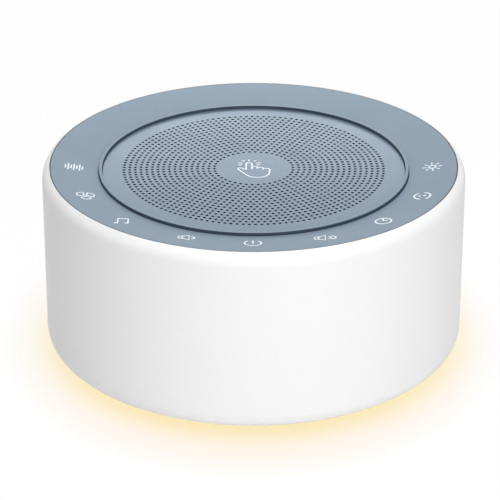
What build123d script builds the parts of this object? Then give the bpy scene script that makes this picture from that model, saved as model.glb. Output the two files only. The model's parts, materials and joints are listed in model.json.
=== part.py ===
from build123d import *
import math
import os

# White noise sound machine. Millimetres, +Z up, origin on the table under the centre.
# The power icon and the front of the machine face -Y, and the power socket is at +Y.

# ---- housing ----
BODY_R = 56.0            # outer wall of the white housing
DISC_R = 54.0            # opening at the top of the housing
TOP_Z = 52.0             # edge of the blue-grey top
BODY_Z = 2.0             # underside of the housing above the table
BOTTOM_ROUND = 5.0       # rounding of the housing's bottom edge
INNER_ROUND = 2.2        # the same corner inside
SHOULDER_DROP = 3.5      # height of the rounded shoulder below the top edge
WALL = 2.6               # housing wall
LEDGE_R = 51.2           # inner radius of the ledge that carries the touch ring
LEDGE_T = 1.6
LIP_R = 48.6             # opening in the bottom of the housing
SHELL_INNER_R = BODY_R - WALL

# ---- touch ring ----
SEAM = 0.15              # gap round the touch ring
RING_R = DISC_R - SEAM
RING_RIM_T = 1.8         # thickness of the rim that rests on the ledge
RING_SEAT_Z = TOP_Z - RING_RIM_T
DISH_SLOPE = 0.1514      # fall of the top towards the centre
RING_FOOT_Z = 47.2       # underside of the short wall round the bore
SKIRT_R = 42.0           # outside of that wall
SKIRT_TOP = 48.5         # underside of the top where it meets that wall
STEP_R = 50.8            # underside of the top where it meets the rim
STEP_Z = 49.8
BOSS_ANGLES = [15, 90, 165, 237, 303]
BOSS_R = 2.5
BOSS_PILOT_R = 1.15

# ---- trim ring that stands up between the touch ring and the grille ----
TRIM_R = 41.0
TRIM_BORE = 40.15
TRIM_TOP = 50.95
TRIM_GAP = 0.12          # gap on each side of it
TRIM_FOOT_R = 39.8       # its foot reaches in under the grille's rim
TRIM_FOOT_TOP = 48.3
RING_BORE = TRIM_R + TRIM_GAP

# ---- touch icons and their electronics ----
ICON_R = 47.4            # circle on which the touch icons lie
ICON_FIRST = 182.0       # azimuth of the first icon, degrees
ICON_STEP = 22.0
ICON_COUNT = 9
TOUCH_BOARD_R = 50.6
TOUCH_BOARD_BORE = 42.4
TOUCH_BOARD_Z = 45.9
TOUCH_BOARD_T = 1.0
TOUCH_BOARD_TOP = TOUCH_BOARD_Z + TOUCH_BOARD_T
PAD_R = 2.2

# ---- grille ----
GRILLE_R = TRIM_BORE - TRIM_GAP
GRILLE_DROP = 1.9        # top of the disc below the top edge
GRILLE_T = 1.2
GRILLE_BOTTOM = TOP_Z - GRILLE_DROP - GRILLE_T
HOLE_R = 0.38
HOLE_PITCH = 1.494       # distance between rings of holes
FIRST_RING = 7           # the first ring of holes has 6 x 7 holes
LAST_RING = 23
HOLE_START = 2.1         # degrees
GASKET_T = 0.5
GASKET_R = 39.6
GASKET_BORE = 36.6
SEAT_Z = GRILLE_BOTTOM - GASKET_T
CLOTH_TOP = GRILLE_BOTTOM - 0.05
CLOTH_T = 0.25
CLOTH_R = 36.3
CLOTH_BORE = 9.2
ELECTRODE_R = 8.6
FLEX_T = 0.15

# ---- inner frame ----
DECK_Z = 42.0            # underside of the deck
DECK_T = 2.5
DECK_TOP = DECK_Z + DECK_T
DECK_BORE = 25.2         # opening over the speaker
COLUMN_ANGLES = [45, 135, 225, 315]
COLUMN_R = 35.5          # circle of the four columns and case screws
COLUMN_FOOT = 7.6
COLUMN_HALF = 3.5        # radius of a column
RIB_R = 50.4             # outer end of the stiffening rib on each column
RIB_T = 2.0
RIB_FOOT = 8.0

# ---- speaker, from the deck down ----
EAR_ANGLES = [0, 90, 180, 270]
EAR_R = 31.0             # circle of the four speaker screws
SHEET = 1.0              # sheet steel of the basket
FLANGE_R = 28.5
FLANGE_TOP = 41.2
FLANGE_BORE = 24.0
LIP_OUT_R = 27.6         # outer lip of the surround
SURROUND_T = 0.4
ROLL_R = 22.85           # centre line of the surround's half roll
SHELF_Z = 30.0           # shelf that carries the spider
SHELF_R = 20.2
CONE_R = 21.2
PAPER = 0.35
COIL_R = 9.9             # inside of the voice coil former
FORMER_T = 0.15
FORMER_R = COIL_R + FORMER_T
COIL_T = 0.45
COIL_LOW = 21.6          # rest height; the cone and coil move 1.5 mm up and down from it
COIL_TOP = 27.4
FORMER_TOP = 32.8
NECK_Z = 31.0
TOP_PLATE_TOP = 26.0
MAGNET_TOP = 23.0
MAGNET_LOW = 16.0
YOKE_LOW = 13.5
MAGNET_R = 22.5
YOKE_R = 20.0
LEAD_ANGLE = 200         # where the speaker leads leave the basket
LEAD_HALF = 1.5          # half the distance between the two leads
TERMINAL_TOP = 33.2
TAB_T = 0.4

# ---- main board ----
BOARD_R = 34.8
BOARD_Z = 8.6
BOARD_T = 1.6
BOARD_TOP = BOARD_Z + BOARD_T
BOARD_SCREWS = [(15, 25.5), (-15, 25.5), (-15, -25.5), (15, -25.5)]
PIN_TOP = 0.35           # height of a chip's pins
SOCKET_MOUTH = 53.2      # open end of the power socket
SOCKET_LENGTH = 7.35
SOCKET_W = 8.94
SOCKET_H = 3.26
SOCKET_WALL = 0.3
SOCKET_BACK = 1.2
PORT_WIDTH = 12.8        # opening in the housing for the plug's grip
PORT_HEIGHT = 7.0
PORT_Z = BOARD_TOP + SOCKET_H / 2
CONNECTOR_R = 29.0       # circle of the wire connectors
CONNECTOR_H = 5.5
RIBBON_ANGLE = 150       # where the touch ribbon runs down
RIBBON_R = 44.0
LED_LEAD_ANGLE = 270

# ---- light ----
LED_BOARD_Z = 6.1
LED_BOARD_T = 0.8
LED_BOARD_TOP = LED_BOARD_Z + LED_BOARD_T
LED_BOARD_R = 50.2
LED_BOARD_BORE = 42.4
LED_RING_R = 45.5
LED_COUNT = 24
CHANNEL_INNER = 43.7     # trough of the diffuser, under the emitters
CHANNEL_OUTER = 47.3
CHANNEL_WALL = 1.0
DIFFUSER_T = 1.6
DIFFUSER_R = 50.6
DIFFUSER_BORE = 40.0

# ---- base ----
BASE_R = 42.4
BASE_Z = 1.4             # underside of the base plate
BASE_T = 2.0
BASE_TOP = BASE_Z + BASE_T
BASE_BREAK = 0.4         # bevel round its edge
FOOT_R = 5.3
FOOT_RING_R = 31.0
FOOT_RECESS = 0.8
CLAMP_TOP = 4.8          # rib that holds the diffuser in place
CASE_SCREW_FLOOR = 4.0   # where a case screw's head stops
CASE_SCREW_LOW = 2.1


# ---- helpers ----
def tube(outer, inner, low, high):
    """A plain ring from height low to high."""
    ring = Circle(outer) - Circle(inner)
    return Pos(0, 0, low) * extrude(ring, high - low)


def rod(radius, low, high):
    return Pos(0, 0, low) * extrude(Circle(radius), high - low)


def turned(*points):
    """A ring turned from a closed outline of (radius, height) points."""
    outline = make_face(Polyline(*points, close=True))
    return revolve(Plane.XZ * outline, Axis.Z)


def turned_curve(curve):
    return revolve(Plane.XZ * make_face(curve), Axis.Z)


def at(radius, angle, z=0.0):
    """A place at this radius and azimuth, turned to face outwards."""
    return Rot(0, 0, angle) * Pos(radius, 0, z)


def slab(length, width, low, high):
    """A block centred on the origin, from height low to high."""
    return Pos(0, 0, (low + high) / 2) * Box(length, width, high - low)


def group(solids):
    return Compound(children=solids)


def arc_point(centre, radius, degrees):
    """The point of a circle at this angle, in an outline of (radius, height)."""
    angle = math.radians(degrees)
    return (centre[0] + radius * math.cos(angle), centre[1] + radius * math.sin(angle))


def wire_run(points, bend, radius):
    """A round wire in the XZ plane, along straight runs joined by arcs."""
    path = Plane.XZ * FilletPolyline(*points, radius=bend)
    return sweep((path ^ 0) * Circle(radius), path)


def strip_run(points, bend, width, thickness):
    """A flat cable in the XZ plane, bent across its thickness."""
    path = FilletPolyline(*points, radius=bend)
    return extrude(Plane.XZ * trace(path, line_width=thickness), width / 2, both=True)


def stadium(width, height):
    return RectangleRounded(width, height, height / 2 - 0.001)


def cross_screw(head_r, head_h, shank_r, length):
    """A screw standing on its head, with a cross recess in the head's underside."""
    recess_length = 1.24 * head_r
    recess_width = 0.28 * head_r
    recess_depth = 0.5 * head_h
    screw = rod(head_r, 0, head_h) + rod(shank_r, head_h, length)
    screw -= slab(recess_length, recess_width, 0, recess_depth)
    return screw - slab(recess_width, recess_length, 0, recess_depth)


def underside(radius):
    """Height of the touch ring's sloped underside."""
    return SKIRT_TOP + (radius - SKIRT_R) * (STEP_Z - SKIRT_TOP) / (STEP_R - SKIRT_R)


def dish(radius):
    """Height of the touch ring's dished top."""
    return TOP_Z - (RING_R - radius) * DISH_SLOPE


# ---- housing ----
def body_shell():
    shoulder_z = TOP_Z - SHOULDER_DROP
    run = BODY_R - DISC_R
    shoulder_r = (run * run + SHOULDER_DROP * SHOULDER_DROP) / (2 * run)
    half_turn = math.degrees(math.asin(SHOULDER_DROP / shoulder_r)) / 2
    shoulder_mid = arc_point((BODY_R - shoulder_r, shoulder_z), shoulder_r, half_turn)
    outer_centre = (BODY_R - BOTTOM_ROUND, BODY_Z + BOTTOM_ROUND)
    lip_top = BODY_Z + WALL
    inner_centre = (SHELL_INNER_R - INNER_ROUND, lip_top + INNER_ROUND)
    ledge_low = RING_SEAT_Z - LEDGE_T

    outline = Line((LIP_R, BODY_Z), (outer_centre[0], BODY_Z))
    outline += ThreePointArc(
        (outer_centre[0], BODY_Z),
        arc_point(outer_centre, BOTTOM_ROUND, -45),
        (BODY_R, outer_centre[1]),
    )
    outline += Line((BODY_R, outer_centre[1]), (BODY_R, shoulder_z))
    outline += ThreePointArc((BODY_R, shoulder_z), shoulder_mid, (DISC_R, TOP_Z))
    outline += Polyline(
        (DISC_R, TOP_Z),
        (DISC_R, RING_SEAT_Z),
        (LEDGE_R, RING_SEAT_Z),
        (LEDGE_R, ledge_low),
        (SHELL_INNER_R, ledge_low - (SHELL_INNER_R - LEDGE_R)),
        (SHELL_INNER_R, inner_centre[1]),
    )
    outline += ThreePointArc(
        (SHELL_INNER_R, inner_centre[1]),
        arc_point(inner_centre, INNER_ROUND, -45),
        (inner_centre[0], lip_top),
    )
    outline += Polyline((inner_centre[0], lip_top), (LIP_R, lip_top), (LIP_R, BODY_Z))
    shell = turned_curve(outline)

    clearance = 2.0
    port = Plane.XZ.offset(-BODY_R - clearance) * Pos(0, PORT_Z)
    return shell - extrude(port * stadium(PORT_WIDTH, PORT_HEIGHT), 4 * WALL)


def touch_ring():
    edge = 0.15
    ring = turned(
        (RING_R, RING_SEAT_Z),
        (RING_R, TOP_Z - edge),
        (RING_R - edge, dish(RING_R - edge)),
        (RING_BORE + edge, dish(RING_BORE + edge)),
        (RING_BORE, dish(RING_BORE) - edge),
        (RING_BORE, RING_FOOT_Z),
        (SKIRT_R, RING_FOOT_Z),
        (SKIRT_R, SKIRT_TOP),
        (STEP_R, STEP_Z),
        (LEDGE_R - 0.2, RING_SEAT_Z),
    )
    boss_top = underside(ICON_R) + 0.5
    pilot_depth = 4.2
    for angle in BOSS_ANGLES:
        ring += at(ICON_R, angle) * rod(BOSS_R, DECK_TOP, boss_top)
    for angle in BOSS_ANGLES:
        ring -= at(ICON_R, angle) * rod(BOSS_PILOT_R, DECK_TOP - 1, DECK_TOP + pilot_depth)
    return ring


def ring_screws():
    """Screws up through the deck into the touch ring's bosses."""
    low = DECK_Z - 0.4
    length = DECK_TOP + 4.0 - low
    screw = cross_screw(2.1, 1.6, 1.1, length)
    return group([at(ICON_R, angle, low) * screw for angle in BOSS_ANGLES])


def trim_ring():
    """Upright ring beside the grille, held down by its foot under the grille's rim."""
    edge = 0.1
    return turned(
        (TRIM_FOOT_R, RING_FOOT_Z),
        (TRIM_R, RING_FOOT_Z),
        (TRIM_R, TRIM_TOP - edge),
        (TRIM_R - edge, TRIM_TOP),
        (TRIM_BORE + edge, TRIM_TOP),
        (TRIM_BORE, TRIM_TOP - edge),
        (TRIM_BORE, TRIM_FOOT_TOP),
        (TRIM_FOOT_R, TRIM_FOOT_TOP),
    )


# ---- grille ----
def hole_rings():
    """The round holes as wires, ring by ring."""
    wires = []
    for ring in range(FIRST_RING, LAST_RING + 1):
        count = 6 * ring
        for k in range(count):
            angle = math.radians(HOLE_START + 360 * k / count)
            x = ring * HOLE_PITCH * math.cos(angle)
            y = ring * HOLE_PITCH * math.sin(angle)
            wires.append(Wire.make_circle(HOLE_R, Plane((x, y, GRILLE_BOTTOM))))
    return wires


def grille_disc():
    rim = Wire.make_circle(GRILLE_R, Plane((0, 0, GRILLE_BOTTOM)))
    return extrude(Face(rim, hole_rings()), GRILLE_T, dir=(0, 0, 1))


def grille_cloth():
    return tube(CLOTH_R, CLOTH_BORE, CLOTH_TOP - CLOTH_T, CLOTH_TOP)


def grille_gasket():
    return tube(GASKET_R, GASKET_BORE, SEAT_Z, GRILLE_BOTTOM)


def centre_touch_electrode():
    """A copper disc under the plain centre, with a flex tail down to the main board."""
    low = CLOTH_TOP - CLOTH_T - FLEX_T / 2
    drop_r = 36.05
    tail = strip_run([(6, low), (drop_r, low), (drop_r, 16.0), (32.6, 11.2)], 1.5, 4.0, FLEX_T)
    return rod(ELECTRODE_R, CLOTH_TOP - CLOTH_T, CLOTH_TOP) + Rot(0, 0, 90) * tail


# ---- touch electronics ----
def touch_board():
    board = tube(TOUCH_BOARD_R, TOUCH_BOARD_BORE, TOUCH_BOARD_Z, TOUCH_BOARD_TOP)
    for angle in BOSS_ANGLES:
        board -= at(ICON_R, angle) * rod(BOSS_R + 0.3, TOUCH_BOARD_Z, TOUCH_BOARD_TOP)
    return board


def touch_pads():
    """Soft conductive pads between the board and the ring, one under each icon."""
    room = turned(
        (SKIRT_R, TOUCH_BOARD_TOP),
        (STEP_R, TOUCH_BOARD_TOP),
        (STEP_R, STEP_Z),
        (SKIRT_R, SKIRT_TOP),
    )
    pads = []
    for k in range(ICON_COUNT):
        pad = at(ICON_R, ICON_FIRST + k * ICON_STEP) * rod(PAD_R, TOUCH_BOARD_TOP, TOP_Z)
        pads.append(pad & room)
    return group(pads)


def chip(length, width, height, pins):
    """A moulded chip with a row of pins along each long side, standing on z = 0."""
    pin_width = 0.4
    pin_reach = 1.0
    body = slab(length, width, 0.1, height)
    body = chamfer(body.edges().group_by(Axis.Z)[-1], 0.2)
    for k in range(pins):
        x = (k - (pins - 1) / 2) * length / pins
        body += Pos(x, 0, 0) * slab(pin_width, width + 2 * pin_reach, 0, PIN_TOP)
    return body


def touch_controller():
    return at(46.4, 60, TOUCH_BOARD_TOP) * Rot(0, 0, 90) * chip(5.0, 4.0, 1.0, 5)


def touch_ribbon():
    run = [(RIBBON_R, TOUCH_BOARD_Z), (RIBBON_R, 17.0), (31.8, 11.2)]
    return Rot(0, 0, RIBBON_ANGLE) * strip_run(run, 4.0, 6.0, 0.2)


# ---- inner frame ----
def inner_frame():
    frame = tube(STEP_R, DECK_BORE, DECK_Z, DECK_TOP)
    frame += tube(TRIM_FOOT_R - 0.1, GASKET_BORE, DECK_TOP, SEAT_Z)
    frame += tube(SKIRT_R, TRIM_FOOT_R - 0.1, DECK_TOP, RING_FOOT_Z)
    frame += tube(43.2, SKIRT_R, DECK_TOP, TOUCH_BOARD_Z)
    frame += tube(TOUCH_BOARD_R, 49.9, DECK_TOP, TOUCH_BOARD_Z)
    for angle in COLUMN_ANGLES:
        frame += at(COLUMN_R, angle) * rod(COLUMN_HALF, COLUMN_FOOT, DECK_Z)
        rib_middle = (COLUMN_R + 0.5 + RIB_R) / 2
        frame += at(rib_middle, angle) * slab(RIB_R - COLUMN_R - 0.5, RIB_T, RIB_FOOT, DECK_Z)
        toe_middle = (LED_BOARD_BORE + LED_BOARD_R) / 2
        toe_length = LED_BOARD_R - LED_BOARD_BORE
        frame += at(toe_middle, angle) * slab(toe_length, RIB_T, LED_BOARD_TOP, RIB_FOOT)
    for angle in EAR_ANGLES:
        frame += at(EAR_R, angle) * rod(3.2, FLANGE_TOP, DECK_Z)
    for angle in COLUMN_ANGLES:
        frame -= at(COLUMN_R, angle) * rod(1.5, COLUMN_FOOT, 18.0)
    for angle in EAR_ANGLES:
        frame -= at(EAR_R, angle) * rod(1.3, FLANGE_TOP, DECK_TOP - 0.1)
    for angle in BOSS_ANGLES:
        frame -= at(ICON_R, angle) * rod(1.4, DECK_Z, DECK_TOP)
        frame -= at(ICON_R, angle) * rod(2.4, DECK_Z, DECK_Z + 1.2)
    flex_slot = at(35.6, 90) * slab(2.0, 5.0, DECK_Z, DECK_TOP)
    ribbon_slot = at(RIBBON_R, RIBBON_ANGLE) * slab(1.6, 7.0, DECK_Z, TOUCH_BOARD_Z)
    return frame - flex_slot - ribbon_slot


# ---- speaker ----
def speaker_basket():
    """Pressed steel basket: floor, step, spider shelf, open sides and flange with four ears."""
    bore = 12.8
    step_r = 18.3
    shelf_outer = 20.9
    rim_outer = FLANGE_BORE + 0.8
    flange_low = FLANGE_TOP - SHEET
    basket = turned(
        (bore, TOP_PLATE_TOP),
        (step_r, TOP_PLATE_TOP),
        (step_r, SHELF_Z - SHEET),
        (shelf_outer, SHELF_Z - SHEET),
        (rim_outer, flange_low),
        (FLANGE_R, flange_low),
        (FLANGE_R, FLANGE_TOP),
        (FLANGE_BORE, FLANGE_TOP),
        (SHELF_R, SHELF_Z),
        (step_r - SHEET, SHELF_Z),
        (step_r - SHEET, TOP_PLATE_TOP + SHEET),
        (bore, TOP_PLATE_TOP + SHEET),
    )
    ear_half = 3.4
    for angle in EAR_ANGLES:
        basket += at(EAR_R, angle) * rod(ear_half, flange_low, FLANGE_TOP)
        basket += at(29.0, angle) * slab(3.0, 2 * ear_half, flange_low, FLANGE_TOP)
    tab_low = TERMINAL_TOP - 2 * SHEET
    basket += at(24.8, LEAD_ANGLE) * slab(7.2, 11.0, tab_low, tab_low + SHEET)
    window = Pos(22.0, 0, 36.2) * Box(8.0, 12.0, 5.6)
    for k in range(6):
        basket -= Rot(0, 0, LEAD_ANGLE + 60 * k) * window
    for angle in EAR_ANGLES:
        basket -= at(EAR_R, angle) * rod(1.7, flange_low, FLANGE_TOP)
    return basket


def speaker_surround():
    """Rubber half roll with a flat lip on each side."""
    low = FLANGE_TOP
    high = FLANGE_TOP + SURROUND_T
    lip_in = 20.2
    inside = 1.45
    outside = inside + SURROUND_T
    outline = Line((lip_in, low), (ROLL_R - inside, low))
    outline += ThreePointArc((ROLL_R - inside, low), (ROLL_R, low + inside), (ROLL_R + inside, low))
    outline += Polyline(
        (ROLL_R + inside, low),
        (LIP_OUT_R, low),
        (LIP_OUT_R, high),
        (ROLL_R + outside, high),
    )
    outline += ThreePointArc(
        (ROLL_R + outside, high),
        (ROLL_R, low + outside),
        (ROLL_R - outside, high),
    )
    outline += Polyline((ROLL_R - outside, high), (lip_in, high), (lip_in, low))
    return turned_curve(outline)


def speaker_gasket():
    return tube(LIP_OUT_R, 25.3, FLANGE_TOP + SURROUND_T, DECK_Z)


def speaker_cone():
    """Curved paper cone with a flat rim under the surround and a neck on the former."""
    rim_low = FLANGE_TOP - PAPER
    neck_top = NECK_Z + 1.2
    outside = (FORMER_R + PAPER, neck_top)
    inside = (FORMER_R, neck_top + 0.4)
    rim_outside = (CONE_R - 0.5, rim_low)
    rim_inside = (CONE_R - 0.8, FLANGE_TOP)
    outline = Polyline((FORMER_R, NECK_Z), (FORMER_R + PAPER, NECK_Z), outside)
    outline += ThreePointArc(outside, (15.9, 37.6), rim_outside)
    outline += Polyline(rim_outside, (CONE_R, rim_low), (CONE_R, FLANGE_TOP), rim_inside)
    outline += ThreePointArc(rim_inside, (15.6, 37.9), inside)
    outline += Line(inside, (FORMER_R, NECK_Z))
    return turned_curve(outline)


def coil_former():
    return tube(FORMER_R, COIL_R, COIL_LOW, FORMER_TOP)


def voice_coil():
    return tube(FORMER_R + COIL_T, FORMER_R, COIL_LOW, COIL_TOP)


def dust_cap():
    """Shallow paper dome standing on the former."""
    rise = 3.0
    paper = 0.3
    dome_r = (FORMER_R * FORMER_R + rise * rise) / (2 * rise)
    dome = Pos(0, 0, FORMER_TOP + rise - dome_r) * (Sphere(dome_r) - Sphere(dome_r - paper))
    return dome & rod(FORMER_R, FORMER_TOP, FORMER_TOP + 2 * rise)


def speaker_spider():
    """Corrugated cloth disc between the former and the basket's shelf."""
    cloth = 0.3
    wave = 0.7
    upper = [(FORMER_R, SHELF_Z), (11.2, SHELF_Z)]
    for k in range(4):
        height = wave if k % 2 == 0 else -wave
        upper.append((11.7 + 1.35 * k, SHELF_Z + height))
    upper += [(17.1, SHELF_Z), (SHELF_R - cloth, SHELF_Z)]
    lower = [(radius, z + cloth) for radius, z in reversed(upper)]
    return turned(*upper, *lower)


def speaker_top_plate():
    air_gap = 1.1
    return tube(YOKE_R, COIL_R + air_gap, MAGNET_TOP, TOP_PLATE_TOP)


def speaker_magnet():
    return tube(MAGNET_R, 12.5, MAGNET_LOW, MAGNET_TOP)


def speaker_yoke():
    """Steel back plate with the vented pole that stands inside the coil."""
    pole_r = COIL_R - 0.4
    vent_r = 2.0
    yoke = rod(YOKE_R, YOKE_LOW, MAGNET_LOW) + rod(pole_r, MAGNET_LOW, TOP_PLATE_TOP)
    return yoke - rod(vent_r, YOKE_LOW, TOP_PLATE_TOP)


def terminal_strip():
    return at(26.0, LEAD_ANGLE) * slab(4.8, 10.0, TERMINAL_TOP - 1.0, TERMINAL_TOP)


def solder_tabs():
    tab = slab(3.6, 1.8, TERMINAL_TOP, TERMINAL_TOP + TAB_T)
    turn = at(26.2, LEAD_ANGLE)
    return group([turn * Pos(0, side * LEAD_HALF, 0) * tab for side in (-1, 1)])


def tinsel_leads():
    """Two loose leads from the cone to the solder tabs."""
    lead_r = 0.3
    start = TERMINAL_TOP + TAB_T + lead_r
    lead = wire_run([(25.2, start), (22.4, start), (19.6, 36.6), (17.6, 38.55)], 1.0, lead_r)
    turn = Rot(0, 0, LEAD_ANGLE)
    return group([turn * Pos(0, side * LEAD_HALF, 0) * lead for side in (-1, 1)])


def speaker_screws():
    """Screws up through the basket's ears into the deck."""
    head_h = 1.8
    low = FLANGE_TOP - SHEET - head_h
    screw = cross_screw(2.6, head_h, 1.25, DECK_TOP - 0.3 - low)
    return group([at(EAR_R, angle, low) * screw for angle in EAR_ANGLES])


# ---- main board ----
def main_board():
    reach = SOCKET_MOUTH - 2.0
    outline = Circle(BOARD_R) + Pos(0, reach / 2) * Rectangle(22, reach)
    for angle in COLUMN_ANGLES:
        outline -= Rot(0, 0, angle) * Pos(COLUMN_R, 0) * Circle(COLUMN_HALF + 0.8)
    for x, y in BOARD_SCREWS:
        outline -= Pos(x, y) * Circle(1.4)
    return Pos(0, 0, BOARD_Z) * extrude(outline, BOARD_T)


def sound_chip():
    return Pos(-9, -7, BOARD_TOP) * chip(10.0, 4.0, 1.7, 8)


def amplifier_chip():
    return Pos(9, -7, BOARD_TOP) * chip(6.0, 5.0, 1.5, 6)


def memory_chip():
    return Pos(-9, 7, BOARD_TOP) * chip(5.3, 5.3, 1.9, 4)


def clock_crystal():
    can = slab(8.0, 3.8, 0, 2.6)
    can = fillet(can.edges().filter_by(Axis.Z), 1.6)
    return Pos(9, 6, BOARD_TOP) * can


def capacitor(radius, height):
    """A round can with the crimp groove near its foot."""
    can = rod(radius, 0, height)
    can = fillet(can.edges().sort_by(Axis.Z)[-1], 0.5)
    return can - tube(radius + 1, radius - 0.25, 1.0, 1.6)


def board_capacitors():
    large = capacitor(4.0, 9.5)
    small = capacitor(3.15, 7.7)
    places = [(20, large), (0, small), (340, large)]
    return group([at(28.6, angle, BOARD_TOP) * can for angle, can in places])


def board_inductors():
    coil = slab(6.0, 6.0, 0, 3.0)
    coil = chamfer(coil.edges().filter_by(Axis.Z), 1.2)
    return group([at(20.5, angle, BOARD_TOP) * coil for angle in (62, 232)])


def wire_connectors():
    block = slab(4.2, 6.2, 0, CONNECTOR_H)
    angles = (LEAD_ANGLE, LED_LEAD_ANGLE)
    return group([at(CONNECTOR_R, angle, BOARD_TOP) * block for angle in angles])


def ribbon_connectors():
    block = slab(4.0, 8.0, 0, 1.6)
    return group([at(29.6, angle, BOARD_TOP) * block for angle in (90, RIBBON_ANGLE)])


def board_screws():
    """Screws down through the main board into the base plate's posts."""
    head_h = 1.5
    top = BOARD_TOP + head_h
    screw = Rot(180, 0, 0) * cross_screw(2.2, head_h, 1.15, top - 4.4)
    return group([Pos(x, y, top) * screw for x, y in BOARD_SCREWS])


def power_socket():
    """Metal shell of the power socket, open at the back of the machine."""
    plane = Plane.XZ.offset(-SOCKET_MOUTH) * Pos(0, PORT_Z)
    outer = plane * stadium(SOCKET_W, SOCKET_H)
    inner = plane * stadium(SOCKET_W - 2 * SOCKET_WALL, SOCKET_H - 2 * SOCKET_WALL)
    return extrude(outer, SOCKET_LENGTH) - extrude(inner, SOCKET_LENGTH - SOCKET_BACK)


def socket_tongue():
    length = 5.2
    start = SOCKET_MOUTH - SOCKET_LENGTH + SOCKET_BACK
    return Pos(0, start + length / 2, PORT_Z) * Box(6.69, length, 0.7)


# ---- leads ----
def speaker_lead(side):
    """A round lead from a solder tab down to the wire connector."""
    lead_r = 0.55
    top = TERMINAL_TOP + TAB_T + lead_r
    end = BOARD_TOP + CONNECTOR_H
    points = [(26.4, top), (31.6, top), (31.6, 22.0), (CONNECTOR_R, 18.6), (CONNECTOR_R, end)]
    turn = Rot(0, 0, LEAD_ANGLE)
    return turn * Pos(0, side * LEAD_HALF, 0) * wire_run(points, 1.5, lead_r)


def speaker_lead_red():
    return speaker_lead(1)


def speaker_lead_black():
    return speaker_lead(-1)


def led_leads():
    start = BOARD_TOP + CONNECTOR_H
    points = [
        (CONNECTOR_R, start),
        (CONNECTOR_R, 19.5),
        (36.0, 20.0),
        (44.0, 14.0),
        (44.0, LED_BOARD_TOP),
    ]
    lead = wire_run(points, 1.7, 0.5)
    turn = Rot(0, 0, LED_LEAD_ANGLE)
    return group([turn * Pos(0, side * 1.25, 0) * lead for side in (-1, 1)])


# ---- light ----
def led_board():
    return tube(LED_BOARD_R, LED_BOARD_BORE, LED_BOARD_Z, LED_BOARD_TOP)


def light_emitters():
    emitter = slab(2.8, 3.5, LED_BOARD_Z - 0.9, LED_BOARD_Z)
    step = 360 / LED_COUNT
    return group([at(LED_RING_R, (k + 0.5) * step) * emitter for k in range(LED_COUNT)])


def diffuser_ring():
    """Translucent channel ring: a visible face below, a clamped flange on each side."""
    face_z = BODY_Z + 0.5
    flange_low = BODY_Z + WALL
    face_outer = LIP_R - 0.3
    return turned(
        (DIFFUSER_BORE, BASE_TOP),
        (CHANNEL_INNER - CHANNEL_WALL, BASE_TOP),
        (CHANNEL_INNER - CHANNEL_WALL, face_z),
        (face_outer, face_z),
        (face_outer, flange_low),
        (DIFFUSER_R, flange_low),
        (DIFFUSER_R, LED_BOARD_Z),
        (CHANNEL_OUTER, LED_BOARD_Z),
        (CHANNEL_OUTER, face_z + DIFFUSER_T),
        (CHANNEL_INNER, face_z + DIFFUSER_T),
        (CHANNEL_INNER, LED_BOARD_Z),
        (BASE_R, LED_BOARD_Z),
        (BASE_R, BASE_TOP + DIFFUSER_T),
        (DIFFUSER_BORE, BASE_TOP + DIFFUSER_T),
    )


# ---- base ----
def base_plate():
    base = rod(BASE_R, BASE_Z, BASE_TOP)
    base = chamfer(base.edges().sort_by(Axis.Z)[0], BASE_BREAK)
    base += tube(DIFFUSER_BORE - 0.2, 38.6, BASE_TOP, CLAMP_TOP)
    for angle in COLUMN_ANGLES:
        base += at(COLUMN_R, angle) * rod(3.7, BASE_TOP, COLUMN_FOOT)
    for x, y in BOARD_SCREWS:
        base += Pos(x, y, 0) * rod(2.5, BASE_TOP, BOARD_Z)
    for angle in COLUMN_ANGLES:
        base -= at(COLUMN_R, angle) * rod(1.6, BASE_Z, COLUMN_FOOT)
        base -= at(COLUMN_R, angle) * rod(3.1, BASE_Z, CASE_SCREW_FLOOR)
    for x, y in BOARD_SCREWS:
        base -= Pos(x, y, 0) * rod(1.2, 4.2, BOARD_Z)
    for angle in EAR_ANGLES:
        base -= at(FOOT_RING_R, angle) * rod(FOOT_R + 0.2, BASE_Z, BASE_Z + FOOT_RECESS)
    return base - tube(24.2, 23.6, BASE_Z, BASE_Z + BASE_BREAK)


def rubber_feet():
    foot = rod(FOOT_R, 0, BASE_Z + FOOT_RECESS)
    foot = fillet(foot.edges().sort_by(Axis.Z)[0], 0.5)
    return group([at(FOOT_RING_R, angle) * foot for angle in EAR_ANGLES])


def case_screws():
    """Screws up through the base plate into the frame's columns."""
    screw = cross_screw(2.75, CASE_SCREW_FLOOR - CASE_SCREW_LOW, 1.45, 13.9)
    return group([at(COLUMN_R, angle, CASE_SCREW_LOW) * screw for angle in COLUMN_ANGLES])


PIECES = [
    body_shell,
    touch_ring,
    ring_screws,
    trim_ring,
    grille_disc,
    grille_cloth,
    grille_gasket,
    centre_touch_electrode,
    touch_board,
    touch_pads,
    touch_controller,
    touch_ribbon,
    inner_frame,
    speaker_basket,
    speaker_surround,
    speaker_gasket,
    speaker_cone,
    coil_former,
    voice_coil,
    dust_cap,
    speaker_spider,
    speaker_top_plate,
    speaker_magnet,
    speaker_yoke,
    terminal_strip,
    solder_tabs,
    tinsel_leads,
    speaker_screws,
    main_board,
    sound_chip,
    amplifier_chip,
    memory_chip,
    clock_crystal,
    board_capacitors,
    board_inductors,
    wire_connectors,
    ribbon_connectors,
    board_screws,
    power_socket,
    socket_tongue,
    speaker_lead_red,
    speaker_lead_black,
    led_leads,
    led_board,
    light_emitters,
    diffuser_ring,
    base_plate,
    rubber_feet,
    case_screws,
]

os.makedirs("parts", exist_ok=True)
for piece in PIECES:
    export_step(piece(), f"parts/{piece.__name__}.step")
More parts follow.
